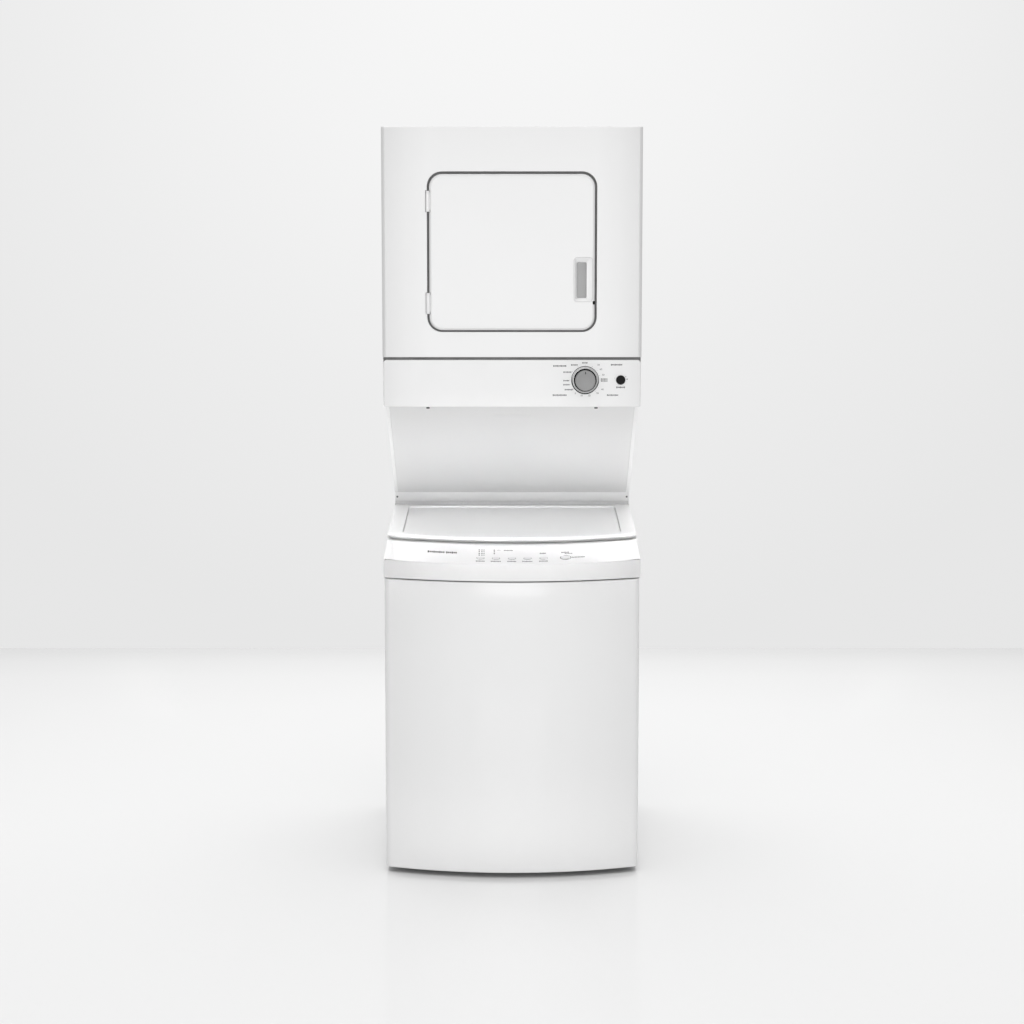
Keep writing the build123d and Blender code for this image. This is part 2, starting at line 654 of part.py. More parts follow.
def cup_slab(grow, y_front, y_back):
    width = CUP_X[1] - CUP_X[0] + 2 * grow
    middle = (CUP_X[0] + CUP_X[1]) / 2
    return front_slab(width, CUP_Z[0] - grow, CUP_Z[1] + grow, 9 + grow, y_front, y_back, middle)


def handle_cup():
    front = FRONT_Y - DOOR_PROUD
    body = cup_slab(0, front, front + CUP_DEPTH)
    left, right = POCKET_X
    deep, behind_lip = front + POCKET_DEPTH, right + LIP_REACH
    outline = [(CUP_X[0] + 2, front - 1), (CUP_X[0] + 2, front + 1), (left, deep), (behind_lip, deep),
               (behind_lip, front + 6), (right, front + 4), (right, front - 1)]
    plane = Plane(origin=(0, 0, CUP_Z[0] + 7), z_dir=(0, 0, 1))
    hollow = extrude(plane * make_face(Polyline(*outline, close=True)), amount=CUP_Z[1] - CUP_Z[0] - 14)
    save("handle_cup", body - hollow)


def door_liner():
    plate = front_slab(DOOR_W - 2 * SHEET - 0.4, DOOR_LOW + 2, DOOR_HIGH - 2, DOOR_R - 2, DOOR_BACK - 2, DOOR_BACK)
    plug = front_slab(PORT_W - 36, DRUM_Z - PORT_H / 2 + 18, DRUM_Z + PORT_H / 2 - 18, PORT_R - 18,
                      DOOR_BACK - 1, FRONT_Y + 31)
    core = front_slab(PORT_W - 42, DRUM_Z - PORT_H / 2 + 21, DRUM_Z + PORT_H / 2 - 21, PORT_R - 21,
                      DOOR_BACK - 5, FRONT_Y + 29)
    save("door_liner", plate + plug - core)


def door_hinges():
    leaves = []
    for z in HINGE_Z:
        half = HINGE_LEN / 2 - 4
        knuckle = rod("Z", KNUCKLE_R, z - half, z + half, HINGE_X, HINGE_Y)
        leaf_x = (-DOOR_W / 2 + SHEET + 0.15, -DOOR_W / 2 + SHEET + 1.6)
        knuckle += block(leaf_x, (HINGE_Y, DOOR_BACK - 3), (z - half, z + half))
        knuckle -= rod("Z", PIN_R + RUNNING, z - 50, z + 50, HINGE_X, HINGE_Y)
        leaves.append(knuckle)
    save("door_hinges", *leaves)


def hinge_posts():
    posts = []
    arm_x = (HINGE_X - KNUCKLE_R, HINGE_X - 0.5)
    for z in HINGE_Z:
        half = HINGE_LEN / 2
        post = rod("Z", PIN_R, z - half + 1, z + half - 1, HINGE_X, HINGE_Y)
        for low in (z - half, z + half - 3.7):
            cap = rod("Z", KNUCKLE_R, low, low + 3.7, HINGE_X, HINGE_Y)
            cap += block(arm_x, (HINGE_Y, FRONT_Y + 8), (low, low + 3.7))
            post += cap
        post += block(arm_x, (FRONT_Y + 6, FRONT_Y + 8), (z - half, z + half))
        posts.append(post)
    save("hinge_posts", *posts)


# ---- drying mechanism ---------------------------------------------------------------

def port_slab(grow, y_front, y_back):
    low, high = DRUM_Z - PORT_H / 2 - grow, DRUM_Z + PORT_H / 2 + grow
    return front_slab(PORT_W + 2 * grow, low, high, PORT_R + grow, y_front, y_back)


def front_bulkhead():
    edge = DRYER_W / 2 - 18
    plate = block((-edge, edge), (BULKHEAD_Y, BULKHEAD_Y + SHEET), (CONSOLE_TOP + 10, DRYER_TOP - 6))
    plate += port_slab(SHEET, BULKHEAD_Y, DRUM_FRONT - 4)
    plate -= port_slab(0, BULKHEAD_Y - 5, DRUM_FRONT)
    plate -= block((-104, 104), (BULKHEAD_Y + 8, BULKHEAD_Y + 26), (1200, DRUM_Z - 60))
    save("front_bulkhead", plate)


def lint_filter():
    y_low, y_high = LINT_Y
    frame = block((-99, 99), (y_low, y_high), (LINT_TOP - 114, LINT_TOP + 2))
    for x in (-49, 49):
        window = block((x - 43, x + 43), (y_low - 2, y_high + 2), (LINT_TOP - 108, LINT_TOP - 10))
        mesh = block((x - 43.5, x + 43.5), (y_low + 4, y_low + 6), (LINT_TOP - 108.5, LINT_TOP - 9.5))
        frame = frame - window + mesh
    frame += block((-30, 30), (y_low, y_high), (LINT_TOP, LINT_TOP + 10))
    save("lint_filter", frame)


def lint_duct():
    y_low, y_high = BULKHEAD_Y + SHEET + 0.2, DRUM_FRONT - 5
    low, high = LINT_TOP - 124, LINT_TOP - 2
    duct = block((-106, 106), (y_low, y_high), (low, high))
    duct -= block((-103, 103), (y_low + 3, y_high - 3), (low + 3, high + 5))
    duct -= block((40, 90), (y_high - 5, y_high + 5), (low + 8, low + 40))
    save("lint_duct", duct)


def dryer_drum():
    length = (DRUM_FRONT, DRUM_BACK)
    drum = tube("Y", DRUM_R, DRUM_R - SHEET, *length, 0, DRUM_Z)
    drum += tube("Y", DRUM_R - 0.5, MOUTH_R, DRUM_FRONT, DRUM_FRONT + SHEET, 0, DRUM_Z)
    drum += rod("Y", DRUM_R - 0.5, DRUM_BACK - SHEET, DRUM_BACK, 0, DRUM_Z)
    drum += rod("Y", 26, DRUM_BACK - 4, DRUM_BACK, 0, DRUM_Z)
    drum += rod("Y", 10, DRUM_BACK - 2, REAR_BULKHEAD_Y + 18, 0, DRUM_Z)
    save("dryer_drum", drum)


def drum_baffles():
    baffles = []
    reach = DRUM_R - SHEET - 0.4
    for angle in (90, 210, 330):
        profile = [(-26, -13), (-10, 40), (10, 40), (26, -13)]
        plane = Plane(origin=(0, DRUM_BACK - 14, 0), z_dir=(0, -1, 0), x_dir=(1, 0, 0))
        fin = extrude(plane * make_face(Polyline(*profile, close=True)), amount=420)
        fin = fillet(fin.edges().filter_by(Axis.Y).sort_by(Axis.Z)[-2:], 6)
        placed = Pos(0, 0, DRUM_Z) * Rot(0, -(angle - 90), 0) * Pos(0, 0, -reach + 2) * fin
        baffles.append(placed & rod("Y", reach, DRUM_FRONT, DRUM_BACK, 0, DRUM_Z))
    save("drum_baffles", *baffles)


def rear_bulkhead():
    edge = DRYER_W / 2 - 18
    low, high = REAR_BULKHEAD_Y, REAR_BULKHEAD_Y + 2
    plate = block((-edge, edge), (low, high), (DRYER_BOTTOM + 3, DRYER_TOP - 6))
    plate += rod("Y", 20, low, low + 20, 0, DRUM_Z)
    plate -= rod("Y", 10 + RUNNING, low - 5, low + 40, 0, DRUM_Z)
    plate -= rod("Y", EXHAUST_R + 1.5, low - 9, high + 9, EXHAUST_X, EXHAUST_Z)
    save("rear_bulkhead", plate)


def heater_box():
    low, high = REAR_BULKHEAD_Y + 2.3, REAR_Y - SHEET - 8
    box = block((60, 230), (low, high), (1540, 1690))
    box -= block((64, 226), (low + 3, high - 3), (1530, 1686))
    save("heater_box", box)


def blower_housing():
    y_low, y_high = DRUM_FRONT + 2, DRUM_FRONT + 62
    drum = rod("Y", 66, y_low, y_high, MOTOR_X, MOTOR_Z)
    duct = block((EXHAUST_X - 56, MOTOR_X), (y_low, y_high), (DRYER_BOTTOM + 8, DRYER_BOTTOM + 78))
    outer = drum + duct
    room = rod("Y", 63, y_low + 3, y_high - 3, MOTOR_X, MOTOR_Z)
    room += block((EXHAUST_X - 53, MOTOR_X), (y_low + 3, y_high - 3), (DRYER_BOTTOM + 11, DRYER_BOTTOM + 75))
    housing = outer - room
    housing -= rod("Y", 40, y_low - 5, y_low + 5, MOTOR_X, MOTOR_Z)
    housing -= rod("Y", 9, y_high - 5, y_high + 5, MOTOR_X, MOTOR_Z)
    housing -= rod("Y", 30, y_high - 5, y_high + 5, EXHAUST_X, DRYER_BOTTOM + 43)
    save("blower_housing", housing)


def exhaust_pipe():
    start = DRUM_FRONT + 62.2
    pipe = rod("Y", EXHAUST_R - NECK, start, REAR_Y + NECK_END, EXHAUST_X, EXHAUST_Z)
    pipe += rod("Y", EXHAUST_R, REAR_Y + NECK_END, EXHAUST_END, EXHAUST_X, EXHAUST_Z)
    pipe -= rod("Y", EXHAUST_R - 1.8, start - 5, EXHAUST_END + 5, EXHAUST_X, EXHAUST_Z)
    save("exhaust_pipe", pipe)


def dryer_motor():
    body = rod("Y", 42, -105, 25, MOTOR_X, MOTOR_Z) + rod("Y", 16, -112, 32, MOTOR_X, MOTOR_Z)
    foot_low = DRYER_BOTTOM + 2.2
    body += block((MOTOR_X - 40, MOTOR_X + 40), (-90, 10), (foot_low, MOTOR_Z - 30))
    body -= rod("Y", SHAFT_R + RUNNING, -200, 200, MOTOR_X, MOTOR_Z)
    save("dryer_motor", body)
    rotor = rod("Y", SHAFT_R, -180, 92, MOTOR_X, MOTOR_Z)
    pulley = rod("Y", PULLEY_R, 72, 92, MOTOR_X, MOTOR_Z)
    pulley += rod("Y", PULLEY_R + 4, 70, 73, MOTOR_X, MOTOR_Z) + rod("Y", PULLEY_R + 4, 89, 92, MOTOR_X, MOTOR_Z)
    save("motor_pulley", rotor + pulley)
    wheel = rod("Y", BLOWER_R, -152, -148, MOTOR_X, MOTOR_Z)
    wheel += rod("Y", 14, -185, -148, MOTOR_X, MOTOR_Z)
    blades = 16
    for number in range(blades):
        blade = Pos(MOTOR_X, -170, MOTOR_Z) * Rot(0, number * 360 / blades, 0) * Pos(44, 0, 0) * Box(22, 40, 1.6)
        wheel += blade
    wheel += tube("Y", BLOWER_R, BLOWER_R - 4, -191, -187, MOTOR_X, MOTOR_Z)
    wheel -= rod("Y", SHAFT_R, -200, -100, MOTOR_X, MOTOR_Z)
    save("blower_wheel", wheel)


def dryer_belt():
    plane = Plane(origin=(0, 87.5, 0), z_dir=(0, -1, 0), x_dir=(1, 0, 0))

    def loop(gap):
        drum = Pos(0, DRUM_Z) * Circle(DRUM_R + gap)
        pulley = Pos(MOTOR_X, MOTOR_Z) * Circle(PULLEY_R + gap)
        return make_hull(drum.edges() + pulley.edges())

    band = loop(2.4) - loop(0.45)
    save("dryer_belt", extrude(plane * band, amount=13))


def terminal_cover():
    cover = block((150, 250), (REAR_Y + 0.1, REAR_Y + 20), (1210, 1280))
    cover = fillet(cover.faces().sort_by(Axis.Y)[-1].edges(), 4)
    cover -= rod("Z", 7, 1200, 1230, 200, REAR_Y + 10)
    save("terminal_cover", cover)


for make in (base_frame, leveling_feet, rear_panel, washer_front_panel, washer_apron, washer_console,
             washer_keys, washer_deck, washer_lid, outer_tub, suspension_rods, wash_basket, agitator,
             washer_drive, drain_pump, inlet_valve, recess_panel, sill_strip, trim_screws, dryer_top,
             dryer_front_panel, dryer_rear_panel, dryer_floor, dryer_console, timer_body, start_switch,
             start_button, timer_knob, door_panel, handle_cup, door_liner, door_hinges, hinge_posts,
             front_bulkhead, lint_filter, lint_duct, dryer_drum, drum_baffles, rear_bulkhead, heater_box,
             blower_housing, exhaust_pipe, dryer_motor, dryer_belt, terminal_cover):
    make()
washer_side("washer_side_right", 1)
washer_side("washer_side_left", -1)
stand_side("stand_side_right", 1)
stand_side("stand_side_left", -1)
dryer_side("dryer_side_right", 1)
dryer_side("dryer_side_left", -1)
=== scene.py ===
import math

import bmesh
import bpy
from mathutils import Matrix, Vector


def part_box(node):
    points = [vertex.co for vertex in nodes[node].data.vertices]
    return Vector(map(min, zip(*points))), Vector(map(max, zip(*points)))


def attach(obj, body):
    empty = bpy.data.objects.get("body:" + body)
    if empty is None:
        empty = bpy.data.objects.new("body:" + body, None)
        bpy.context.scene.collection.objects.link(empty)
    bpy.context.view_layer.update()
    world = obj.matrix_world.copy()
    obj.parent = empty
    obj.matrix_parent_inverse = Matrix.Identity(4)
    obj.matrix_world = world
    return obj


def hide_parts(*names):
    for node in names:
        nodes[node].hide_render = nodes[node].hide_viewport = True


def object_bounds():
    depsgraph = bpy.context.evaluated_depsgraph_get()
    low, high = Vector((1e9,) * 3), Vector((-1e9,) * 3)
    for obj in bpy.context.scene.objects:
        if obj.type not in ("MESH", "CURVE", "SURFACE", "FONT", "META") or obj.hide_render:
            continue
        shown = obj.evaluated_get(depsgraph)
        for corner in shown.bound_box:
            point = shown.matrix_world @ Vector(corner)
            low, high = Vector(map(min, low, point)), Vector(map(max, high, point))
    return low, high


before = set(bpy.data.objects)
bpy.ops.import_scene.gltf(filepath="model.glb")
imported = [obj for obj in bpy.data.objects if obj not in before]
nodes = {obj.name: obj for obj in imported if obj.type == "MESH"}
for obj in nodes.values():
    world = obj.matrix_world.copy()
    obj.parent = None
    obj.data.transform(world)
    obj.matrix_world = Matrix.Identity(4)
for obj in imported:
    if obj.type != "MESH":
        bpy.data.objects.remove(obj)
cad_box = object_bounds()
scene = bpy.context.scene
scene.view_settings.view_transform = "Standard"
scene.view_settings.look = "None"

HALF_WIDTH = (cad_box[1][0] - cad_box[0][0]) / 2
FORWARD = (0, -1, 0)


# ---- node material tools -------------------------------------------------------

class Shader:
    """A Principled material whose colour, roughness and bump come from procedural nodes."""

    def __init__(self, name, roughness=0.4, metallic=0.0, **sockets):
        self.material = bpy.data.materials.new(name)
        self.material.use_nodes = True
        self.tree = self.material.node_tree
        self.bsdf = self.tree.nodes["Principled BSDF"]
        self.bsdf.inputs["Roughness"].default_value = roughness
        self.bsdf.inputs["Metallic"].default_value = metallic
        for socket, value in sockets.items():
            self.bsdf.inputs[socket.replace("_", " ")].default_value = value
        self.coords = self.tree.nodes.new("ShaderNodeTexCoord").outputs["Object"]
        self.height = None

    def link(self, a, b):
        self.tree.links.new(a, b)

    def stretched(self, scale):
        """Object coordinates stretched by scale, for brushed and drawn surfaces."""
        mapping = self.tree.nodes.new("ShaderNodeMapping")
        mapping.inputs["Scale"].default_value = scale
        self.link(self.coords, mapping.inputs["Vector"])
        return mapping.outputs["Vector"]

    def noise(self, scale, detail=3.0, vector=None, rough=0.5):
        node = self.tree.nodes.new("ShaderNodeTexNoise")
        node.inputs["Scale"].default_value = scale
        node.inputs["Detail"].default_value = detail
        node.inputs["Roughness"].default_value = rough
        self.link(vector or self.coords, node.inputs["Vector"])
        return node.outputs["Fac"]

    def cells(self, scale):
        node = self.tree.nodes.new("ShaderNodeTexVoronoi")
        node.inputs["Scale"].default_value = scale
        self.link(self.coords, node.inputs["Vector"])
        return node.outputs["Color"]

    def ramp(self, source, *stops):
        """Colour ramp; each stop is (position, colour)."""
        node = self.tree.nodes.new("ShaderNodeValToRGB")
        elements = node.color_ramp.elements
        while len(elements) < len(stops):
            elements.new(0.5)
        for element, (position, colour) in zip(elements, stops):
            element.position = position
            element.color = (*colour, 1.0)
        self.link(source, node.inputs["Fac"])
        return node.outputs["Color"]

    def colour(self, source, *stops):
        self.link(self.ramp(source, *stops), self.bsdf.inputs["Base Color"])
        return self

    def maths(self, operation, *values):
        """A math node; each value is a number or another node's output."""
        node = self.tree.nodes.new("ShaderNodeMath")
        node.operation = operation
        for socket, value in zip(node.inputs, values):
            if isinstance(value, float):
                socket.default_value = value
            else:
                self.link(value, socket)
        return node.outputs["Value"]

    def split(self):
        node = self.tree.nodes.new("ShaderNodeSeparateXYZ")
        self.link(self.coords, node.inputs[0])
        return node.outputs

    def painted_side_shade(self, value, edge, flat):
        """Colour that drifts slowly and, as painted shade, falls to a share of itself from flat of the half
        width outwards.
        """
        share = self.maths("DIVIDE", self.maths("ABSOLUTE", self.split()["X"]), HALF_WIDTH)
        drift = self.maths("MULTIPLY_ADD", self.noise(3.0, 2.0), 0.03, share)
        middle_tone = 1 - (1 - edge) * 0.35
        return self.colour(drift, (0.0, grey(value * 0.995)), (flat, grey(value)),
                           ((1 + flat) / 2, grey(value * middle_tone)), (1.0, grey(value * edge)))

    def roughness(self, source, low, high):
        node = self.tree.nodes.new("ShaderNodeMapRange")
        node.inputs["From Min"].default_value = 0.3
        node.inputs["From Max"].default_value = 0.7
        node.inputs["To Min"].default_value = low
        node.inputs["To Max"].default_value = high
        self.link(source, node.inputs["Value"])
        self.link(node.outputs["Result"], self.bsdf.inputs["Roughness"])
        return self

    def bump(self, source, distance, strength=1.0):
        node = self.tree.nodes.new("ShaderNodeBump")
        node.inputs["Strength"].default_value = strength
        node.inputs["Distance"].default_value = distance
        self.link(source, node.inputs["Height"])
        if self.height:
            self.link(self.height, node.inputs["Normal"])
        self.height = node.outputs["Normal"]
        self.link(self.height, self.bsdf.inputs["Normal"])
        return self


def grey(value, warm=0.0):
    return (value + warm, value, value - warm)


def enamel(name, value, peel=0.00003, edge=1.0, flat=0.7):
    """Baked enamel on sheet steel, with faint orange peel and painted shade that darkens the colour towards
    the sides.
    """
    shader = Shader(name, 0.3, Coat_Weight=0.35, Coat_Roughness=0.12)
    shader.painted_side_shade(value, edge, flat)
    shader.roughness(shader.noise(5.0, 1.0), 0.30, 0.315)
    shader.bump(shader.noise(160.0, 2.0), peel, 0.25)
    return shader.material


def moulded(name, value, roughness=0.4, grain=900.0, depth=0.00002, warm=0.0, coat=0.0, edge=1.0,
            flat=0.7):
    """Injection moulding with a fine spark-eroded grain."""
    shader = Shader(name, roughness, Coat_Weight=coat, Coat_Roughness=0.1)
    if edge < 1.0:
        # painted shade: the colour darkens towards the sides
        shader.painted_side_shade(value, edge, flat)
    else:
        shader.colour(shader.noise(8.0, 3.0), (0.3, grey(value * 0.97, warm)), (0.7, grey(value, warm)))
    shader.roughness(shader.noise(30.0, 4.0), roughness - 0.04, roughness + 0.05)
    shader.bump(shader.noise(grain, 2.0), depth, 0.5)
    return shader.material


def galvanized(name):
    shader = Shader(name, 0.42, 0.9)
    shader.colour(shader.cells(120.0), (0.15, (0.53, 0.54, 0.555)), (0.5, (0.58, 0.59, 0.6)),
                  (0.9, (0.64, 0.65, 0.66)))
    shader.roughness(shader.noise(60.0, 4.0), 0.34, 0.52)
    shader.bump(shader.noise(240.0, 3.0), 0.00008, 0.4)
    return shader.material


def brushed(name, value, stretch, roughness=0.3):
    """Metal with a grain drawn along one direction."""
    shader = Shader(name, roughness, 1.0)
    lines = shader.noise(1.0, 4.0, shader.stretched(stretch), 0.6)
    shader.colour(lines, (0.3, grey(value * 0.86)), (0.7, grey(value)))
    shader.roughness(lines, roughness - 0.06, roughness + 0.08)
    shader.bump(lines, 0.00004, 0.5)
    return shader.material


def plain_dark(name, value, roughness=0.5, metallic=0.0, shine=0.5):
    shader = Shader(name, roughness, metallic, Specular_IOR_Level=shine)
    shader.colour(shader.noise(40.0, 4.0), (0.3, grey(value * 0.8)), (0.7, grey(value * 1.15)))
    shader.roughness(shader.noise(90.0, 4.0), roughness - 0.08, roughness + 0.08)
    shader.bump(shader.noise(700.0, 3.0), 0.0001, 0.4)
    return shader.material


WHITE = enamel("enamel_white", 0.86)
# darker copy of the white enamel: painted shade on the recess panel and the sill under the dryer
WHITE_SLANT_SHADED = enamel("enamel_recess_shaded", 0.73)
# darker copy of the white enamel for the dryer front and door: painted shade, deepening towards the sides
WHITE_FACE_SHADED = enamel("enamel_dryer_front_shaded", 0.775, edge=0.85, flat=0.66)
# painted shade darkens the bowed washer front towards its sides
WHITE_BOW = enamel("enamel_washer_front", 0.87, edge=0.93, flat=0.45)
# painted shade: darker than the other white plastic, and darker still towards the console's sides
CONSOLE_PLASTIC = moulded("plastic_dryer_console", 0.815, 0.36, coat=0.2, edge=0.90, flat=0.76)
# painted light and shade: lighter than the other white plastic, and much darker towards the apron's sides
APRON_PLASTIC = moulded("plastic_apron", 0.89, 0.36, coat=0.2, edge=0.76, flat=0.3)
WHITE_PLASTIC = moulded("plastic_white", 0.87, 0.34, coat=0.25)
LINER_PLASTIC = moulded("plastic_liner", 0.76, 0.42)
GALVANIZED = galvanized("galvanized_sheet")
KNOB_GREY = moulded("knob_grey", 0.30, 0.42, 1400.0, 0.00008)
SILVER = brushed("silver_skirt", 0.60, (900.0, 60.0, 900.0), 0.3)
BLACK = plain_dark("plastic_black", 0.008, 0.5, shine=0.15)
TUB = moulded("tub_polypropylene", 0.66, 0.45, 300.0, 0.0002, 0.004)
DARK_STEEL = plain_dark("steel_dark", 0.09, 0.4, 0.8)
STAINLESS = brushed("drum_stainless", 0.66, (20.0, 900.0, 20.0), 0.3)
RUBBER = plain_dark("rubber_black", 0.025, 0.7)
INK = plain_dark("label_ink", 0.10, 0.5, shine=0.3)
FILTER_GREY = moulded("filter_grey", 0.38, 0.5)
GASKET = plain_dark("gasket_grey", 0.16, 0.6)
KEY_WHITE = moulded("key_white", 0.78, 0.38, coat=0.2)
# grey for the painted shade under the lid's front rim
LIP_SHADE_GREY = moulded("lip_shade_grey", 0.50, 0.5)
POCKET_GREY = moulded("pocket_grey", 0.42, 0.5, 500.0, 0.00012)

FINISHES = {
    WHITE: """washer_side_left washer_side_right washer_deck stand_side_left stand_side_right
        dryer_side_left dryer_side_right dryer_top washer_lid hinge_posts door_hinges""",
    WHITE_FACE_SHADED: "dryer_front_panel door_panel",
    WHITE_BOW: "washer_front_panel",
    CONSOLE_PLASTIC: "dryer_console",
    APRON_PLASTIC: "washer_apron",
    WHITE_SLANT_SHADED: "recess_panel sill_strip",
    WHITE_PLASTIC: "washer_console handle_cup",
    LINER_PLASTIC: "door_liner drum_baffles front_bulkhead",
    GALVANIZED: """base_frame rear_panel dryer_rear_panel dryer_floor rear_bulkhead heater_box exhaust_pipe
        terminal_cover lint_duct""",
    KNOB_GREY: "knob_cap",
    SILVER: "knob_skirt",
    KEY_WHITE: "washer_key_1 washer_key_2 washer_key_3 washer_key_4 washer_key_5 washer_start_key",
    BLACK: "start_button start_switch timer_body blower_housing blower_wheel drain_pump inlet_valve",
    TUB: "outer_tub agitator balance_ring",
    DARK_STEEL: "trim_screws washer_drive dryer_motor motor_pulley suspension_rods",
    STAINLESS: "dryer_drum wash_basket",
    RUBBER: "leveling_feet dryer_belt",
    FILTER_GREY: "lint_filter",
}


def finish_node(name, material):
    """Puts a material on a CAD node."""
    data = nodes[name].data
    data.materials.clear()
    data.materials.append(material)


for finish, names in FINISHES.items():
    for name in names.split():
        finish_node(name, finish)


# ---- mesh tools ----------------------------------------------------------------

def piece(name, vertices, faces, material, body, stands_for=(), smooth=35.0):
    """A mesh piece that rides on a body, with flat faces only across its real edges."""
    data = bpy.data.meshes.new(name)
    data.from_pydata([tuple(v) for v in vertices], [], faces)
    data.validate()
    data.materials.append(material)
    shaped = bmesh.new()
    shaped.from_mesh(data)
    bmesh.ops.recalc_face_normals(shaped, faces=shaped.faces)
    limit = math.radians(smooth)
    for face in shaped.faces:
        face.smooth = True
    for edge in shaped.edges:
        edge.smooth = edge.is_manifold and edge.calc_face_angle(0.0) < limit
    shaped.to_mesh(data)
    shaped.free()
    obj = bpy.data.objects.new(name, data)
    scene.collection.objects.link(obj)
    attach(obj, body)
    if stands_for:
        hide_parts(*stands_for)
    return obj


class Build:
    """Collects vertices and faces from several simple forms into one mesh."""

    def __init__(self):
        self.vertices = []
        self.faces = []

    def add(self, vertices, faces):
        start = len(self.vertices)
        self.vertices += [Vector(v) for v in vertices]
        self.faces += [[start + i for i in face] for face in faces]

    def loops(self, loops, close_first=True, close_last=True):
        """Skins a list of closed loops that all have the same number of points."""
        count = len(loops[0])
        faces = []
        for row in range(len(loops) - 1):
            for i in range(count):
                j = (i + 1) % count
                here, above = row * count, (row + 1) * count
                faces.append([here + i, here + j, above + j, above + i])
        if close_first:
            faces.append(list(range(count))[::-1])
        if close_last:
            faces.append(list(range((len(loops) - 1) * count, len(loops) * count)))
        self.add([v for loop in loops for v in loop], faces)

    def lathe(self, profile, centre, axis, segments=64, wave=None):
        """Turns (radius, height) points about an axis through centre; wave adds to the radius."""
        axis = Vector(axis).normalized()
        side = axis.orthogonal().normalized()
        up = axis.cross(side)
        rings = []
        for radius, height in profile:
            ring = []
            for k in range(segments):
                angle = 2 * math.pi * k / segments
                reach = radius + (wave(angle, radius, height) if wave else 0.0)
                out = side * math.cos(angle) + up * math.sin(angle)
                ring.append(Vector(centre) + out * reach + axis * height)
            rings.append(ring)
        self.loops(rings)

    def box(self, low, high, bevel=0.0006):
        """A box with chamfered vertical and horizontal edges."""
        low, high = Vector(low), Vector(high)
        shape = bmesh.new()
        bmesh.ops.create_cube(shape, size=1.0)
        for vertex in shape.verts:
            for k in range(3):
                vertex.co[k] = high[k] if vertex.co[k] > 0 else low[k]
        bmesh.ops.bevel(shape, geom=shape.edges[:], offset=bevel, segments=2, affect="EDGES", profile=0.5)
        shape.verts.index_update()
        self.add([v.co.copy() for v in shape.verts], [[v.index for v in f.verts] for f in shape.faces])
        shape.free()

    def piece(self, name, material, body, slot, stands_for=(), smooth=35.0):
        return piece(name, self.vertices, self.faces, material, body, stands_for, smooth)


def middle(name):
    low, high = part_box(name)
    return (Vector(low) + Vector(high)) / 2


def rounded_rectangle(width, height, radius, steps=6):
    """Points of a rounded rectangle about the origin, as (across, up)."""
    points = []
    for quarter, (sx, sy) in enumerate(((1, 1), (-1, 1), (-1, -1), (1, -1))):
        for k in range(steps + 1):
            angle = math.radians(90 * quarter + 90 * k / steps)
            across = sx * (width / 2 - radius) + radius * math.cos(angle)
            points.append((across, sy * (height / 2 - radius) + radius * math.sin(angle)))
    return points


# ---- dryer controls --------------------------------------------------------------

CONSOLE_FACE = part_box("dryer_console")[0][1]
KNOB = middle("knob_cap")
BUTTON = middle("start_button")
SKIRT_LOW, SKIRT_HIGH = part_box("knob_skirt")
SKIRT_R = (SKIRT_HIGH[0] - SKIRT_LOW[0]) / 2
CAP_LOW, CAP_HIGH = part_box("knob_cap")
CAP_R = (CAP_HIGH[0] - CAP_LOW[0]) / 2


def build_knob():
    """Silver flared skirt and a grey, finely ribbed cap with a dished face."""
    back = SKIRT_HIGH[1]
    centre = (KNOB.x, back, KNOB.z)
    skirt = Build()
    edge = SKIRT_R - 0.0013
    skirt.lathe([(edge - 0.003, 0.0), (edge - 0.001, 0.0006), (edge, 0.0052), (edge - 0.0004, 0.0064),
                 (edge - 0.0012, 0.0070), (edge - 0.0026, 0.0071), (edge - 0.0030, 0.0066),
                 (edge - 0.0034, 0.0030), (CAP_R - 0.0010, 0.0028)], centre, FORWARD, 128)
    skirt.piece("knob_flare", SILVER, "timer_knob", "silver_trim", ("knob_skirt",), 50)
    groove = Build()
    groove.lathe([(edge - 0.0035, 0.0030), (edge - 0.0036, 0.0034), (CAP_R - 0.0006, 0.0034),
                  (CAP_R - 0.0008, 0.0029)], centre, FORWARD, 96)
    groove.piece("knob_groove", BLACK, "timer_knob", "black_plastic")

    rib_count, rib_depth, rib_top = 72, 0.00022, 0.0265

    def ribs(angle, radius, height):
        on_wall = radius > CAP_R * 0.93 and height < rib_top
        return rib_depth * math.cos(rib_count * angle) if on_wall else 0.0

    face = back - CAP_LOW[1]
    cap = Build()
    cap.lathe([(0.004, 0.0042), (CAP_R - 0.0009, 0.0042), (CAP_R - 0.0006, 0.012), (CAP_R - 0.0008, 0.02),
               (CAP_R - 0.0011, face - 0.0032), (CAP_R - 0.0015, face - 0.0017),
               (CAP_R - 0.0028, face - 0.0004), (CAP_R - 0.0042, face), (CAP_R - 0.0056, face - 0.0003),
               (CAP_R * 0.5, face - 0.0012), (CAP_R * 0.15, face - 0.0015)], centre, FORWARD, 288, ribs)
    cap.lathe([(0.003, -0.030), (0.003, 0.005)], centre, FORWARD, 24)
    cap.piece("knob_grip", KNOB_GREY, "timer_knob", "grey_plastic", ("knob_cap",), 30)
    pointer = Build()
    half, front = 0.0008, back - (face - 0.0001)
    pointer.box((KNOB.x - half, front - 0.0003, KNOB.z + CAP_R * 0.66),
                (KNOB.x + half, front + 0.0006, KNOB.z + CAP_R * 0.9), 0.0002)
    pointer.piece("knob_pointer", BLACK, "timer_knob", "black_plastic")


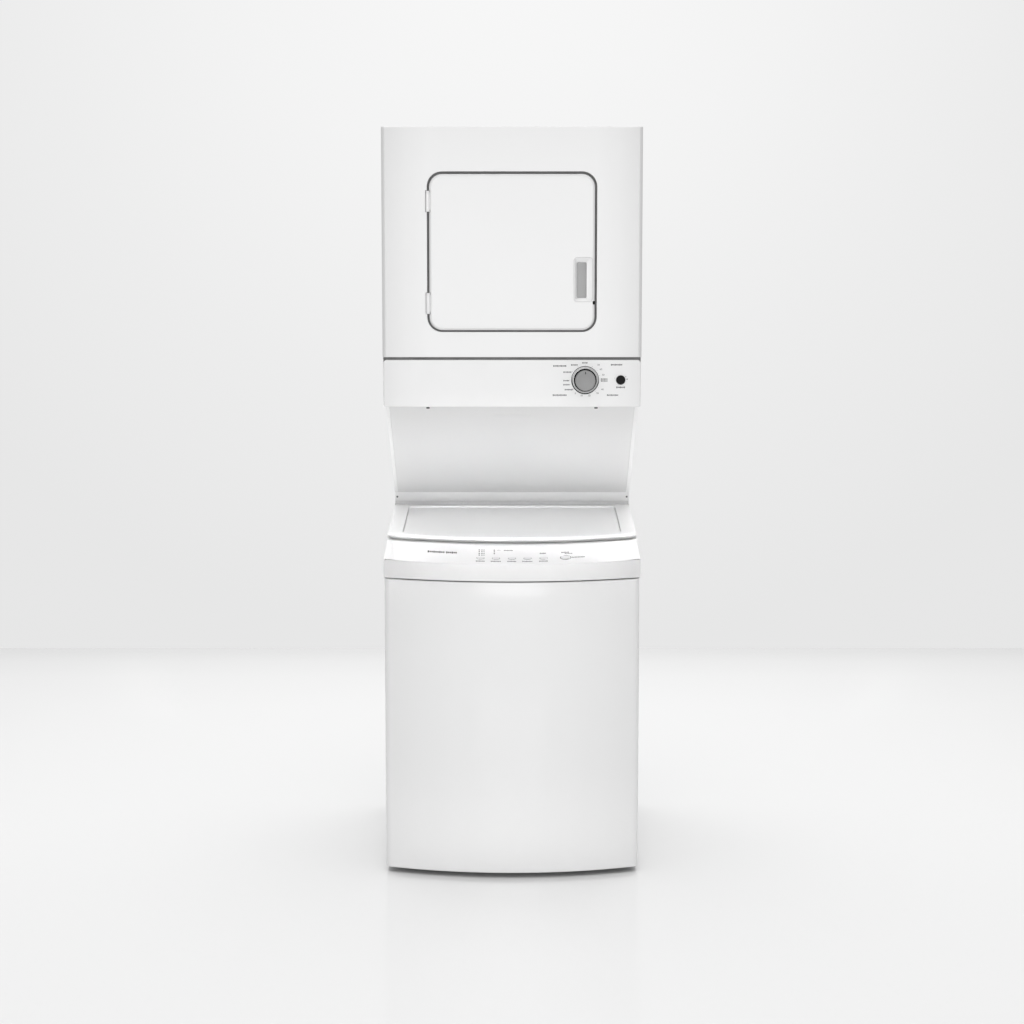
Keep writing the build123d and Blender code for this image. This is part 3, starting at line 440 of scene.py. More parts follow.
def build_knob_shadow():
    """Black disc behind the knob, set a little low so its rim shows below the skirt as a painted shadow, and
    a thin black line round the skirt as painted shade in the joint.
    """
    shadow_mesh = Build()

    def circle(radius, depth, drop=0.0):
        return [(KNOB.x + radius * math.cos(math.tau * k / 96), CONSOLE_FACE + depth,
                 KNOB.z - drop + radius * math.sin(math.tau * k / 96)) for k in range(96)]

    # the drop sets the disc low, so only a crescent of painted shadow shows below the skirt
    drop = 0.0026
    shadow_mesh.loops([circle(0.02, -0.0002, drop), circle(SKIRT_R - 0.0010, -0.0002, drop),
                circle(SKIRT_R - 0.0004, 0.0002, drop)])
    inner, outer = SKIRT_R - 0.0002, SKIRT_R + 0.0011
    line = [circle(inner, 0.0002), circle(inner, -0.00018), circle(outer, -0.00018), circle(outer, 0.0002)]
    shadow_mesh.loops(line + line[:1], close_first=False, close_last=False)
    shadow_mesh.piece("knob_painted_shadow", BLACK, "cabinet", "black_plastic")


def build_start_button():
    low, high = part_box("start_button")
    radius = (high[0] - low[0]) / 2
    centre = (BUTTON.x, high[1], BUTTON.z)
    length = high[1] - low[1]
    button = Build()
    button.lathe([(radius - 0.001, 0.0), (radius, 0.0005), (radius, length - 0.0012),
                  (radius - 0.0004, length - 0.0004), (radius - 0.0014, length),
                  (radius - 0.0026, length - 0.0002), (radius * 0.4, length - 0.0007)], centre, FORWARD, 72)
    button.piece("start_button_cap", BLACK, "start_button", "black_plastic", ("start_button",))


# ---- printed marks ------------------------------------------------------------------

def glyphs(text, height):
    """Flat outline of a number, as vertices centred on the origin and faces."""
    curve = bpy.data.curves.new("glyphs", "FONT")
    curve.body = text
    curve.size = height
    curve.align_x = "CENTER"
    curve.align_y = "CENTER"
    curve.resolution_u = 3
    holder = bpy.data.objects.new("glyphs", curve)
    data = bpy.data.meshes.new_from_object(holder)
    vertices = [v.co.copy() for v in data.vertices]
    faces = [list(p.vertices) for p in data.polygons]
    bpy.data.objects.remove(holder)
    return vertices, faces


INK_LIFT = 0.00012
INK_THICK = 0.00006


class Marks(Build):
    """Thin printed marks laid on a surface; place(across, up) gives (point, across, up, out) there."""

    def __init__(self, place):
        super().__init__()
        self.place = place

    def number(self, text, across, up, height):
        origin, right, top, out = self.place(across, up)
        vertices, faces = glyphs(text, height)
        self.add([origin + right * v.x + top * v.y + out * INK_LIFT for v in vertices], faces)

    def outline(self, points):
        """A closed flat shape, given as (across, up) points."""
        spots = [self.place(a, u) for a, u in points]
        top = [o + out * (INK_LIFT + INK_THICK) for o, _, _, out in spots]
        under = [o + out * INK_LIFT for o, _, _, out in spots]
        self.loops([under, top])

    def stroke(self, across, up, length, thick, letter=0.0026):
        """A short bar in place of a word, cut into pieces like the letters of a word."""
        cuts = max(1, round(length / letter))
        step = length / cuts
        for k in range(cuts):
            left = across - length / 2 + k * step
            tall = thick * (1.0 if k % 3 else 1.35)
            points = [(left, up - tall / 2), (left + step * 0.72, up - tall / 2),
                      (left + step * 0.72, up + tall / 2), (left, up + tall / 2)]
            self.outline(points)

    def ring(self, across, up, width, height, line):
        steps = 40
        outer, inner = [], []
        for k in range(steps):
            angle = 2 * math.pi * k / steps
            for points, grow in ((outer, line / 2), (inner, -line / 2)):
                points.append((across + (width / 2 + grow) * math.cos(angle),
                               up + (height / 2 + grow) * math.sin(angle)))
        for k in range(steps):
            j = (k + 1) % steps
            self.outline([outer[k], outer[j], inner[j], inner[k]])

    def dot(self, across, up, radius):
        angles = [math.tau * k / 12 for k in range(12)]
        self.outline([(across + radius * math.cos(a), up + radius * math.sin(a)) for a in angles])


def dryer_face(across, up):
    """A point of the flat dryer console, measured from the knob."""
    origin = Vector((KNOB.x + across, CONSOLE_FACE, KNOB.z + up))
    return origin, Vector((1, 0, 0)), Vector((0, 0, 1)), Vector(FORWARD)


def build_dryer_marks():
    """Settings, bars in place of words and small dots round the knob and the start button."""
    marks = Marks(dryer_face)
    settings = (("70", 0.0310, 0.0352), ("60", 0.0368, 0.0250), ("50", 0.0425, 0.0120),
                ("40", 0.0405, -0.0222), ("30", 0.0290, -0.0310), ("20", 0.0100, -0.0366),
                ("10", -0.0085, -0.0366), ("0", -0.0225, -0.0315))
    for text, across, up in settings:
        marks.number(text, across, up, 0.0058)
    words = ((-0.0248, 0.0353, 0.016), (0.0, 0.0402, 0.013), (-0.0412, 0.0185, 0.019),
             (-0.0437, -0.0015, 0.014), (-0.0433, -0.0110, 0.015), (-0.0375, -0.0226, 0.020),
             (0.0450, 0.0022, 0.016), (0.0450, -0.0022, 0.016))
    for across, up, length in words:
        marks.stroke(across, up, length, 0.0024)
    titles = ((-0.0590, 0.0330, 0.031), (-0.0590, -0.0355, 0.033), (0.0738, 0.0357, 0.027),
              (0.0648, -0.0355, 0.027), (0.0835, -0.0172, 0.021))
    for across, up, length in titles:
        marks.stroke(across, up, length, 0.0028, 0.003)
    for degrees in (62, 38, 17, -30, -47, -73, -103, -126, 90, 118, 146, 180, 196, 214):
        angle = math.radians(degrees)
        reach = SKIRT_R + 0.0040
        marks.dot(reach * math.cos(angle), reach * math.sin(angle), 0.0005)
    button = BUTTON.x - KNOB.x
    marks.dot(button - 0.0140, 0.0045, 0.0006)
    marks.dot(button + 0.0118, 0.0080, 0.0009)
    marks.dot(button + 0.0148, 0.0020, 0.0014)
    marks.piece("dryer_console_marks", INK, "cabinet", "white_plastic")


CONSOLE_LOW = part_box("washer_console")[0]
CONSOLE_HALF = 0.274
CONSOLE_SAG = 0.065
CONSOLE_DROP = 0.0158
TOP_HALF = 0.284
TOP_APEX = -0.282
TOP_SAG = 0.061
LID_SLOPE = math.radians(3.0)
LID_LOW, LID_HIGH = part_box("washer_lid")
LID_REAR = 0.158
LID_REAR_Z = 0.830


def arc_y(x, half, apex, sag):
    radius = (half * half + sag * sag) / (2 * sag)
    return apex + radius - math.sqrt(radius * radius - x * x)


def lid_z(y):
    return LID_REAR_Z - (LID_REAR - y) * math.tan(LID_SLOPE)


def washer_face(x, share):
    """A point of the slanted washer console: x across, share from its foot (0) to its top (1)."""
    def spot(at, part):
        low_y = arc_y(at, CONSOLE_HALF, CONSOLE_LOW[1], CONSOLE_SAG)
        high_y = arc_y(at, TOP_HALF, TOP_APEX, TOP_SAG)
        high_z = lid_z(high_y) - CONSOLE_DROP
        rise = high_z - CONSOLE_LOW[2]
        return Vector((at, low_y + part * (high_y - low_y), CONSOLE_LOW[2] + part * rise))

    origin = spot(x, share)
    right = (spot(x + 0.001, share) - spot(x - 0.001, share)).normalized()
    top = (spot(x, share + 0.01) - spot(x, share - 0.01)).normalized()
    return origin, right, top, right.cross(top).normalized()


FACE_RISE = (washer_face(0, 1)[0] - washer_face(0, 0)[0]).length


def washer_place(across, up):
    return washer_face(across, up / FACE_RISE)


def build_washer_marks():
    """Rings round the keys, bars in place of words, and the columns of small lamps."""
    marks = Marks(washer_place)
    share = 0.32 * FACE_RISE
    keys = [middle(f"washer_key_{k}").x for k in range(1, 6)]
    for number, x in enumerate(keys):
        marks.ring(x, share, 0.0180, 0.0094, 0.0009)
        marks.stroke(x, share, 0.007, 0.0024, 0.0022)
        marks.stroke(x, share - 0.0120, 0.021 + 0.003 * (number % 2), 0.0030)
    start = middle("washer_start_key").x
    marks.ring(start, share, 0.0250, 0.0150, 0.0018)
    marks.stroke(start, share, 0.010, 0.0050, 0.0034)
    marks.stroke(start + 0.030, share, 0.030, 0.0032)
    marks.stroke(start - 0.001, share + 0.0205, 0.018, 0.0034)
    marks.stroke(start + 0.007, share + 0.0155, 0.018, 0.0024)
    marks.stroke(keys[4] - 0.001, share + 0.0190, 0.015, 0.0036)
    for row in range(4):
        up = share + 0.0120 + row * 0.0068
        marks.dot(keys[0] - 0.003, up, 0.0019)
        marks.stroke(keys[0] + 0.006, up, 0.009, 0.0022)
        if row:
            marks.dot(keys[1] - 0.004, up, 0.0019)
    marks.stroke(keys[1] + 0.007, share + 0.0324, 0.008, 0.0012)
    marks.stroke(keys[1] + 0.029, share + 0.0320, 0.021, 0.0030)
    marks.piece("washer_console_marks", INK, "cabinet", "white_plastic")
    title = Marks(washer_place)
    title.stroke(-0.178, share + 0.0185, 0.041, 0.0056, 0.0046)
    title.stroke(-0.1415, share + 0.0185, 0.026, 0.0056, 0.0046)
    title.piece("washer_title_bars", BLACK, "cabinet", "black_plastic")


# ---- washer lid ----------------------------------------------------------------------

LID_HALF = (LID_HIGH[0] - LID_LOW[0]) / 2
LID_CORNER_Y = -0.214
LID_APEX_Y = -0.269
INSET_HALF = 0.261
INSET_FRONT = -0.201
INSET_REAR = 0.128


def lid_point(x, y, z):
    """A point of the lid made level, tilted to the closed lid's slope; z is from its top face."""
    back = y - LID_REAR
    return Vector((x, LID_REAR + back * math.cos(LID_SLOPE) - z * math.sin(LID_SLOPE),
                   LID_REAR_Z + back * math.sin(LID_SLOPE) + z * math.cos(LID_SLOPE)))


def lid_outline():
    points = []
    corner = 0.012
    for k in range(65):
        x = -LID_HALF + corner + (2 * (LID_HALF - corner)) * k / 64
        points.append((x, arc_y(x, LID_HALF, LID_APEX_Y, LID_CORNER_Y - LID_APEX_Y)))
    turn = [(LID_HALF - 0.0055, LID_CORNER_Y + 0.0010), (LID_HALF - 0.0016, LID_CORNER_Y + 0.0055),
            (LID_HALF, LID_CORNER_Y + 0.013)]
    points += turn
    for k in range(1, 12):
        points.append((LID_HALF, LID_CORNER_Y + 0.013 + (LID_REAR - 0.003 - LID_CORNER_Y - 0.013) * k / 12))
    points += [(LID_HALF - 0.001, LID_REAR - 0.001), (LID_HALF - 0.003, LID_REAR)]
    for k in range(1, 24):
        points.append((LID_HALF - 0.003 - (2 * LID_HALF - 0.006) * k / 24, LID_REAR))
    points += [(-LID_HALF + 0.003, LID_REAR), (-LID_HALF + 0.001, LID_REAR - 0.001)]
    for k in range(11, 0, -1):
        points.append((-LID_HALF, LID_CORNER_Y + 0.013 + (LID_REAR - 0.003 - LID_CORNER_Y - 0.013) * k / 12))
    points += [(-x, y) for x, y in reversed(turn)]
    return points


def inset(points, distance):
    """The closed outline moved inward by a small distance."""
    moved = []
    count = len(points)
    for k in range(count):
        before, here, after = Vector(points[k - 1]), Vector(points[k]), Vector(points[(k + 1) % count])
        along = ((here - before).normalized() + (after - here).normalized()).normalized()
        moved.append((here.x - along.y * distance, here.y + along.x * distance))
    return moved


def build_lid():
    """The lid's rolled rim, flat frame and shallow inset panel, with its underside and hinge arms."""
    outline = lid_outline()
    rim = [(0.0130, -0.0140), (0.0112, -0.0140), (0.0100, -0.0136), (0.0066, -0.0112), (0.0034, -0.0088),
           (0.0012, -0.0072), (0.0003, -0.0061), (0.0, -0.0048), (0.0003, -0.0034), (0.0013, -0.0020),
           (0.0030, -0.0009), (0.0056, -0.0002), (0.0092, 0.0)]
    lid = Build()
    loops = [[lid_point(x, y, z) for x, y in inset(outline, d)] for d, z in rim]
    lid.loops(loops, close_first=False, close_last=False)
    dish = []
    centre_y = (INSET_FRONT + INSET_REAR) / 2
    half_depth = (INSET_REAR - INSET_FRONT) / 2
    plan = rounded_rectangle(2 * INSET_HALF, 2 * half_depth, 0.008, 5)
    groove = ((0.0010, 0.0), (0.0002, -0.0004), (-0.0002, -0.0020), (-0.0003, -0.0074),
              (-0.0022, -0.0074), (-0.0026, -0.0040), (-0.0036, -0.0033), (-0.0100, -0.0031))
    for grow, depth in groove:
        ring = []
        for x, y in plan:
            scale_x = (INSET_HALF + grow) / INSET_HALF
            scale_y = (half_depth + grow) / half_depth
            ring.append(lid_point(x * scale_x, centre_y + y * scale_y, depth))
        dish.append(ring)
    lid.loops(dish, close_first=False, close_last=True)
    frame_mesh = bmesh.new()
    edges = []
    for ring in (loops[-1], dish[0]):
        verts = [frame_mesh.verts.new(v) for v in ring]
        edges += [frame_mesh.edges.new((verts[k], verts[(k + 1) % len(verts)])) for k in range(len(verts))]
    bmesh.ops.triangle_fill(frame_mesh, use_beauty=True, edges=edges)
    frame_mesh.verts.index_update()
    lid.add([v.co.copy() for v in frame_mesh.verts], [[v.index for v in f.verts] for f in frame_mesh.faces])
    frame_mesh.free()
    under = [[lid_point(x, y, z) for x, y in inset(outline, d)]
             for d, z in ((0.0130, -0.0140), (0.0134, -0.0090), (0.020, -0.0088))]
    lid.loops(under, close_first=False, close_last=True)
    top = lid.piece("lid_shell", WHITE, "washer_lid", "white_paint", ("washer_lid",), 28)
    weld = bmesh.new()
    weld.from_mesh(top.data)
    bmesh.ops.remove_doubles(weld, verts=weld.verts, dist=0.00002)
    weld.to_mesh(top.data)
    weld.free()
    # grey strip under the lid's rolled front rim: painted shade where the rim curls under the nose
    lip_shade = Build()
    lip_shade.loops([[lid_point(x, y, z) for x, y in inset(outline, d)]
                for d, z in ((0.0024, -0.0061), (0.0010, -0.0064), (0.0014, -0.0074), (0.0048, -0.0110),
                             (0.0096, -0.0139), (0.0112, -0.0139))], close_first=False, close_last=False)
    lip_shade.piece("lid_lip_shade", LIP_SHADE_GREY, "washer_lid", "grey_plastic")
    arms = Build()
    axis_y, axis_z = 0.165, 0.822
    for sign in (-1, 1):
        x = 0.259 * sign
        arms.box((x - 0.003, axis_y - 0.010, axis_z - 0.004), (x + 0.003, axis_y, axis_z + 0.004), 0.0005)
        arms.lathe([(0.0055, -0.003), (0.006, -0.0025), (0.006, 0.0025), (0.0055, 0.003)],
                   (x, axis_y, axis_z), (1, 0, 0), 32)
        arms.lathe([(0.004, 0.0), (0.004, 0.0165), (0.0034, 0.017)], (x, axis_y, axis_z), (sign, 0, 0), 32)
    for x in (-0.2, 0.2):
        low = lid_point(x, -0.2, -0.0080)
        half = 0.008
        arms.box((x - half, low.y - half, low.z - 0.0064), (x + half, low.y + half, low.z - 0.0004), 0.001)
    arms.piece("lid_hinge_arms", WHITE_PLASTIC, "washer_lid", "white_plastic")


# ---- washer front ---------------------------------------------------------------------

FRONT_LOW, FRONT_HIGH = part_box("washer_front_panel")


FRONT_SHEET = 0.0012
FRONT_SAG = 0.057


def front_section(shift):
    """Plan of the bowed panel from its left return to its right return, as (x, y)."""
    half = FRONT_HIGH[0] - shift
    apex, sag = FRONT_LOW[1] + shift, FRONT_SAG
    corner_y = apex + sag
    radius = 0.014
    points = [(-half, y) for y in (FRONT_HIGH[1] - 0.001, corner_y + radius * 1.5, corner_y + radius * 1.1)]
    side_x = half - radius
    bow = [(x, arc_y(x, half, apex, sag)) for x in [side_x * (-1 + k / 40) for k in range(81)]]
    start, end = Vector(points[-1]), Vector(bow[0])
    knee = Vector((-half, end.y + 0.0045))
    for k in range(1, 8):
        t = k / 8
        points.append(tuple(start * (1 - t) ** 2 + knee * 2 * t * (1 - t) + end * t * t))
    left = points[:]
    points += bow
    points += [(-x, y) for x, y in reversed(left)]
    return points


def build_washer_front():
    """Bowed steel front with a rolled top edge and a turned-in hem that follows the bow."""
    low, high = FRONT_LOW[2], FRONT_HIGH[2]
    half = FRONT_HIGH[0]
    section = front_section(FRONT_SHEET)
    rows = []

    def row(height, tuck):
        line = []
        for x, y in section:
            bulge = max(0.0, 1 - (x / half) ** 2)
            z, back = height(bulge), tuck(bulge)
            line.append(Vector((x, y + back, z)))
        rows.append(line)

    hem = 0.020
    row(lambda b: low, lambda b: 0.0030 * b + 0.004)
    row(lambda b: low + 0.0006, lambda b: 0.0022 * b + 0.0012)
    row(lambda b: low + 0.002, lambda b: 0.0017 * b + 0.0003)
    row(lambda b: low + 0.002 + hem * b * 0.5, lambda b: 0.0008 * b)
    row(lambda b: low + 0.002 + hem * b, lambda b: 0.0001 * b)
    row(lambda b: low + 0.0035 + hem * b, lambda b: 0.0)
    bottom, top = low + 0.0035, high - 0.004
    for k in range(1, 13):
        row(lambda b, k=k: bottom + hem * b + (top - bottom - hem * b) * k / 13, lambda b: 0.0)
    row(lambda b: high - 0.004, lambda b: 0.0)
    row(lambda b: high - 0.0018, lambda b: 0.0005)
    row(lambda b: high - 0.0005, lambda b: 0.0018)
    row(lambda b: high, lambda b: 0.004)
    row(lambda b: high, lambda b: 0.030)
    count = len(section)
    faces = []
    for r in range(len(rows) - 1):
        for i in range(count - 1):
            faces.append([r * count + i, r * count + i + 1, (r + 1) * count + i + 1, (r + 1) * count + i])
    vertices = [v for line in rows for v in line]
    obj = piece("washer_front_skin", vertices, faces, WHITE_BOW, "cabinet",
                ("washer_front_panel",), 24)
    solid = obj.modifiers.new("sheet", "SOLIDIFY")
    solid.thickness = FRONT_SHEET
    solid.offset = -1.0


# ---- handle cup ----------------------------------------------------------------------

def build_handle_cup():
    """Recessed pull: sloped top, bottom and left walls into a pocket, and a grab lip on the right."""
    low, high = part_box("handle_cup")
    face = low[1]
    left, right, bottom, top = low[0], high[0], low[2], high[2]

    def rectangle(x0, x1, z0, z1, depth, radius, right_depth=None):
        ring = []
        for across, up in rounded_rectangle(x1 - x0, z1 - z0, radius, 5):
            share = (across + (x1 - x0) / 2) / (x1 - x0)
            y = depth if right_depth is None else depth + (right_depth - depth) * max(0.0, (share - 0.5) * 2)
            ring.append(Vector(((x0 + x1) / 2 + across, face + y, (z0 + z1) / 2 + up)))
        return ring

    cup = Build()
    pocket_l, pocket_r = 0.1502, 0.1734
    z0, z1 = bottom + 0.0085, top - 0.0115
    cup.loops([
        rectangle(left, right, bottom, top, 0.0160, 0.009),
        rectangle(left, right, bottom, top, 0.0010, 0.009),
        rectangle(left + 0.0005, right - 0.0005, bottom + 0.0005, top - 0.0005, 0.0002, 0.0086),
        rectangle(left + 0.0012, right - 0.0012, bottom + 0.0012, top - 0.0012, 0.0, 0.008),
        rectangle(left + 0.0020, right - 0.0016, bottom + 0.0018, top - 0.0018, 0.0002, 0.0075),
        rectangle(left + 0.0028, right - 0.0024, bottom + 0.0024, top - 0.0026, 0.0010, 0.007, 0.0004),
        rectangle(pocket_l - 0.0015, pocket_r + 0.0004, z0 - 0.0008, z1 + 0.0008, 0.0078, 0.0035, 0.0018),
        rectangle(pocket_l, pocket_r, z0, z1, 0.0090, 0.003, 0.0026),
        rectangle(pocket_l + 0.0006, pocket_r + 0.0002, z0 + 0.0003, z1 - 0.0003, 0.0102, 0.003, 0.0040),
        rectangle(pocket_l + 0.0012, pocket_r + 0.0040, z0 + 0.0008, z1 - 0.0008, 0.0140, 0.003),
        rectangle(pocket_l + 0.0024, pocket_r + 0.0030, z0 + 0.0020, z1 - 0.0020, 0.0146, 0.002),
    ])
    floor = Build()
    floor.loops([rectangle(pocket_l + 0.0012, pocket_r - 0.0002, z0 + 0.0006, z1 - 0.0006, depth, 0.0026)
                 for depth in (0.0118, 0.0106)])
    floor.piece("handle_pocket_floor", POCKET_GREY, "dryer_door", "grey_plastic")
    cup.piece("handle_recess", WHITE_PLASTIC, "dryer_door", "white_plastic", ("handle_cup",), 26)


# ---- seals and small hardware ----------------------------------------------------------

def build_door_gasket():
    """Grey gasket set back in the gap round the dryer door."""
    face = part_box("dryer_front_panel")[0][1]
    wide = 0.395
    opening_low, opening_high = 1.2922, 1.6636
    tall = opening_high - opening_low
    centre_z = (opening_low + opening_high) / 2
    gasket = Build()
    loops = []
    profile = ((-0.0004, 0.0050), (-0.0035, 0.0046), (-0.0037, 0.0060), (-0.0037, 0.0100), (-0.0004, 0.0100))
    for grow, depth in profile:
        ring = [Vector((a, face + depth, centre_z + u))
                for a, u in rounded_rectangle(wide + 2 * grow, tall + 2 * grow, 0.035 + grow, 10)]
        loops.append(ring)
    loops.append(loops[0])
    gasket.loops(loops, close_first=False, close_last=False)
    gasket.piece("door_gasket", GASKET, "cabinet", "rubber")
    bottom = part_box("dryer_front_panel")[0][2]
    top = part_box("dryer_console")[1][2]
    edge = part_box("dryer_console")[1][0] - 0.001
    strip = Build()
    strip.box((-edge, face + 0.004, top - 0.0005), (edge, face + 0.008, bottom + 0.0006), 0.0004)
    strip.piece("console_seam_strip", GASKET, "cabinet", "rubber")


def build_rear_seal():
    """Pale apron closing the slot between the lid's back edge and the sill."""
    seal = Build()
    seal.box((-0.2955, 0.1722, 0.8120), (0.2955, 0.1736, 0.8380), 0.0004)
    seal.piece("rear_slot_apron", LINER_PLASTIC, "cabinet", "white_plastic")


def build_latch_notch():
    """Small black strike slot at the door's free edge, below the handle."""
    low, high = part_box("door_panel")
    face = low[1]
    notch = Build()
    notch.box((high[0] - 0.0058, face - 0.0001, 1.3562), (high[0] + 0.0001, face + 0.0060, 1.3645), 0.0012)
    notch.piece("latch_slot", BLACK, "dryer_door", "black_plastic")


def screw(build, place, out, radius=0.0042):
    """A pan-head screw with a domed face."""
    build.lathe([(radius, 0.0), (radius, 0.0008), (radius * 0.85, 0.0018), (radius * 0.45, 0.0024),
                 (radius * 0.2, 0.0018)], place, out, 20)


def build_back_hardware():
    """Screws round the rear panels, the corner flanges beside them and hoods over the air slots."""
    screws = Build()
    inset_x, inset_z, back = 0.02, 0.012, 0.325
    for name, columns, rows in (("rear_panel", 5, 9), ("dryer_rear_panel", 5, 6)):
        low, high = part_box(name)
        for k in range(columns):
            x = low[0] + inset_x + (high[0] - low[0] - 2 * inset_x) * k / (columns - 1)
            for z in (low[2] + inset_z, high[2] - inset_z):
                screw(screws, (x, back, z), (0, 1, 0))
        for k in range(1, rows - 1):
            z = low[2] + inset_z + (high[2] - low[2] - 2 * inset_z) * k / (rows - 1)
            for x in (low[0] + inset_x, high[0] - inset_x):
                screw(screws, (x, back, z), (0, 1, 0))
    low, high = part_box("terminal_cover")
    for x in (low[0] + 0.012, high[0] - 0.012):
        screw(screws, (x, high[1] - 0.0003, (low[2] + high[2]) / 2 + 0.018), (0, 1, 0))
    screws.piece("rear_screws", DARK_STEEL, "cabinet", "dark_steel")
    corners = Build()
    low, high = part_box("dryer_side_right")
    for side in (-1, 1):
        inner, outer = sorted((side * (high[0] - 0.0165), side * (high[0] - 0.0011)))
        corners.box((inner, high[1] - 0.0012, low[2] + 0.0008), (outer, high[1] - 0.0004, 1.2362), 0.0002)
    corners.piece("dryer_corner_flanges", WHITE, "cabinet", "white_paint")
    hoods = Build()
    for row in range(5):
        for column in range(6):
            x, z = 0.070 + column * 0.026, 1.560 + row * 0.022
            left, right = x - 0.0098, x + 0.0098
            loops = []
            for y, drop in ((0.3252, 0.0), (0.3285, 0.0015), (0.3290, 0.004)):
                top, under, inner = z + 0.0052 - drop, z + 0.0044 - drop, y - 0.0006
                loops.append([(left, y, top), (right, y, top), (right, inner, under), (left, inner, under)])
            hoods.loops(loops)
    hoods.piece("louvre_hoods", GALVANIZED, "cabinet", "galvanized_steel")


def holes(build, place, out, radius, thick=0.00015):
    build.lathe([(radius, 0.0), (radius, thick)], place, out, 10)


def build_drum_holes():
    """Perforations of the washer basket's wall and of the dryer drum's back, drawn as black discs: painted
    shade seen through the holes.
    """
    low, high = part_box("wash_basket")
    radius = (high[0] - low[0]) / 2
    wall = 0.002
    bottom, top = 0.235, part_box("balance_ring")[0][2] - 0.02
    dots = Build()
    rows, columns = 11, 40
    for row in range(rows):
        z = bottom + (top - bottom) * row / (rows - 1)
        for column in range(columns):
            angle = math.tau * (column + 0.5 * (row % 2)) / columns
            out = Vector((math.cos(angle), math.sin(angle), 0))
            for reach, sign in ((radius - wall, -1), (radius, 1)):
                holes(dots, out * reach + Vector((0, 0, z)), out * sign, 0.0028)
    dots.piece("basket_holes", BLACK, "wash_basket", "black_plastic")
    height = middle("dryer_drum").z
    back = 0.2605
    dots = Build()
    for ring, count in ((0.07, 16), (0.095, 22), (0.12, 28), (0.145, 34), (0.17, 40)):
        for k in range(count):
            angle = math.tau * k / count
            holes(dots, (ring * math.cos(angle), back, height + ring * math.sin(angle)), FORWARD, 0.0034)
    dots.piece("drum_back_holes", BLACK, "dryer_drum", "black_plastic")


# ---- floor, light and camera -----------------------------------------------------

FLOOR_TONE = 0.92


def build_floor():
    """Pale, slightly glossy floor with a rounded plan; the studio backdrop shows beyond its edge."""
    floor = Build()
    reach = 2.4
    plan = rounded_rectangle(2 * reach, 2 * reach, 0.5, 12)
    floor.loops([[(x * scale, y * scale, 0.0) for x, y in plan] for scale in (1.0, 0.8, 0.5, 0.2)],
                close_first=False)
    data = bpy.data.meshes.new("studio_floor")
    data.from_pydata([tuple(v) for v in floor.vertices], [], floor.faces)
    obj = bpy.data.objects.new("studio_floor", data)
    scene.collection.objects.link(obj)
    shader = Shader("studio_floor", 0.12, Specular_IOR_Level=0.5)
    split = shader.split()
    across, along = [shader.maths("ABSOLUTE", split[axis]) for axis in "XY"]
    larger = shader.maths("MAXIMUM", across, along)
    # the colour darkens towards the floor's edge: painted shade that blends it into the dimmer backdrop
    edge_shades = ((0.0, 1.0), (0.6, 1.0), (0.8, 0.98), (0.9, 0.935), (1.0, 0.83))
    shader.colour(shader.maths("DIVIDE", larger, reach),
                  *[(share, grey(FLOOR_TONE * fade)) for share, fade in edge_shades])
    data.materials.append(shader.material)


def area_light(name, place, target, size, power, size_y=None):
    light = bpy.data.lights.new(name, "AREA")
    light.shape = "RECTANGLE"
    light.size = size
    light.size_y = size_y or size
    light.energy = power
    holder = bpy.data.objects.new(name, light)
    holder.location = place
    direction = Vector(target) - Vector(place)
    holder.rotation_euler = direction.to_track_quat("-Z", "Y").to_euler()
    scene.collection.objects.link(holder)
    return holder


def narrow_light(name, place, target, size, power, size_y, spread):
    """A weak strip light whose beam spreads by only a few degrees."""
    holder = area_light(name, place, target, size, power, size_y=size_y)
    holder.data.spread = math.radians(spread)


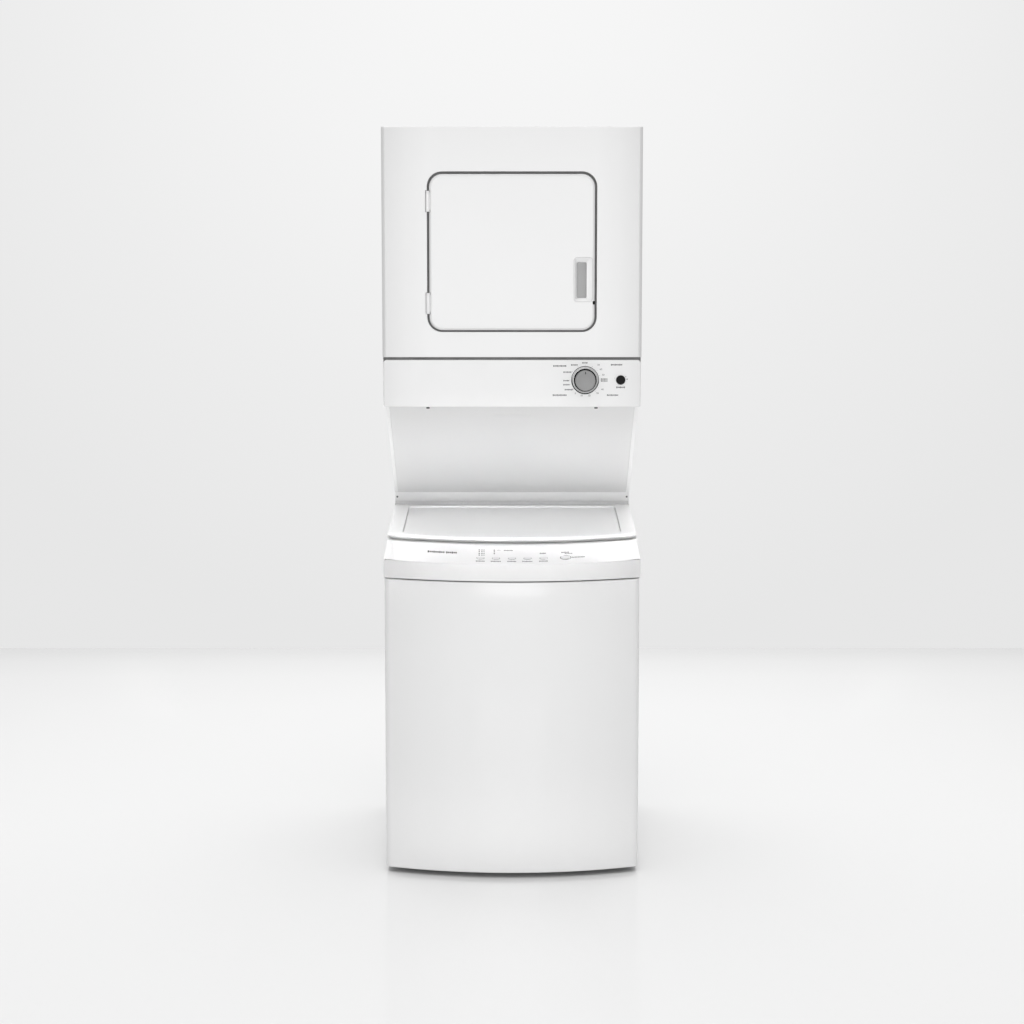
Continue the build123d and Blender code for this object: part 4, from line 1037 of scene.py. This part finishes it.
def build_light():
    """Backdrop brightest high behind the object and dimmer round the sides, with a broad front softbox."""
    world = bpy.data.worlds.new("studio")
    scene.world = world
    world.use_nodes = True
    tree = world.node_tree
    back = tree.nodes["Background"]
    coords = tree.nodes.new("ShaderNodeTexCoord")
    away = tree.nodes.new("ShaderNodeVectorMath")
    away.operation = "DISTANCE"
    away.inputs[1].default_value = (0.0, 0.993, 0.12)
    tree.links.new(coords.outputs["Generated"], away.inputs[0])
    half = tree.nodes.new("ShaderNodeMath")
    half.operation = "MULTIPLY"
    half.inputs[1].default_value = 0.5
    tree.links.new(away.outputs["Value"], half.inputs[0])
    ramp = tree.nodes.new("ShaderNodeValToRGB")
    stops = ((0.0, 0.94), (0.06, 0.90), (0.11, 0.845), (0.16, 0.80), (0.3, 0.78), (0.55, 0.55),
             (0.75, 0.46), (0.9, 0.62), (1.0, 0.76))
    elements = ramp.color_ramp.elements
    while len(elements) < len(stops):
        elements.new(0.5)
    for element, (position, value) in zip(elements, stops):
        element.position = position
        element.color = (value, value, value, 1.0)
    tree.links.new(half.outputs["Value"], ramp.inputs["Fac"])
    tree.links.new(ramp.outputs["Color"], back.inputs["Color"])
    back.inputs["Strength"].default_value = 1.0
    area_light("front_softbox", (0.0, -6.0, 1.1), (0, 0, 0.5), 2.6, 66.0, size_y=1.8)
    area_light("top", (0, 0.5, 4.2), (0, 0.4, 0.0), 4.0, 108.0)
    narrow_light("hem_fill", (0.0, -2.2, 0.25), (0.0, -0.32, 0.11), 1.0, 0.035, 0.1, 10.0)
    for side in (-1, 1):
        narrow_light("recess_fill", (1.15 * side, -1.9, 0.72), (0.06 * side, -0.05, 0.97),
                     0.6, 0.105, 0.16, 10.0)
        narrow_light("lid_fill", (0.95 * side, -2.4, 1.75), (0.0, -0.18, 0.825), 0.7, 0.13, 0.1, 6.0)


def build_camera():
    """The object seen from the front at eye height, slightly from above."""
    face_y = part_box("dryer_front_panel")[0][1]
    data = bpy.data.cameras.new("camera")
    data.sensor_width = 36.0
    data.lens = 78.32
    data.shift_y = -0.03
    data.clip_end = 100.0
    camera = bpy.data.objects.new("camera", data)
    camera.location = (0.0, face_y - 5.2, 1.6)
    camera.rotation_euler = (math.radians(90.0 - 7.22), 0.0, 0.0)
    scene.collection.objects.link(camera)
    scene.camera = camera


build_knob()
build_knob_shadow()
build_start_button()
build_dryer_marks()
build_washer_marks()
build_lid()
build_washer_front()
build_handle_cup()
build_door_gasket()
build_rear_seal()
build_latch_notch()
build_back_hardware()
build_drum_holes()
build_floor()
build_light()
build_camera()
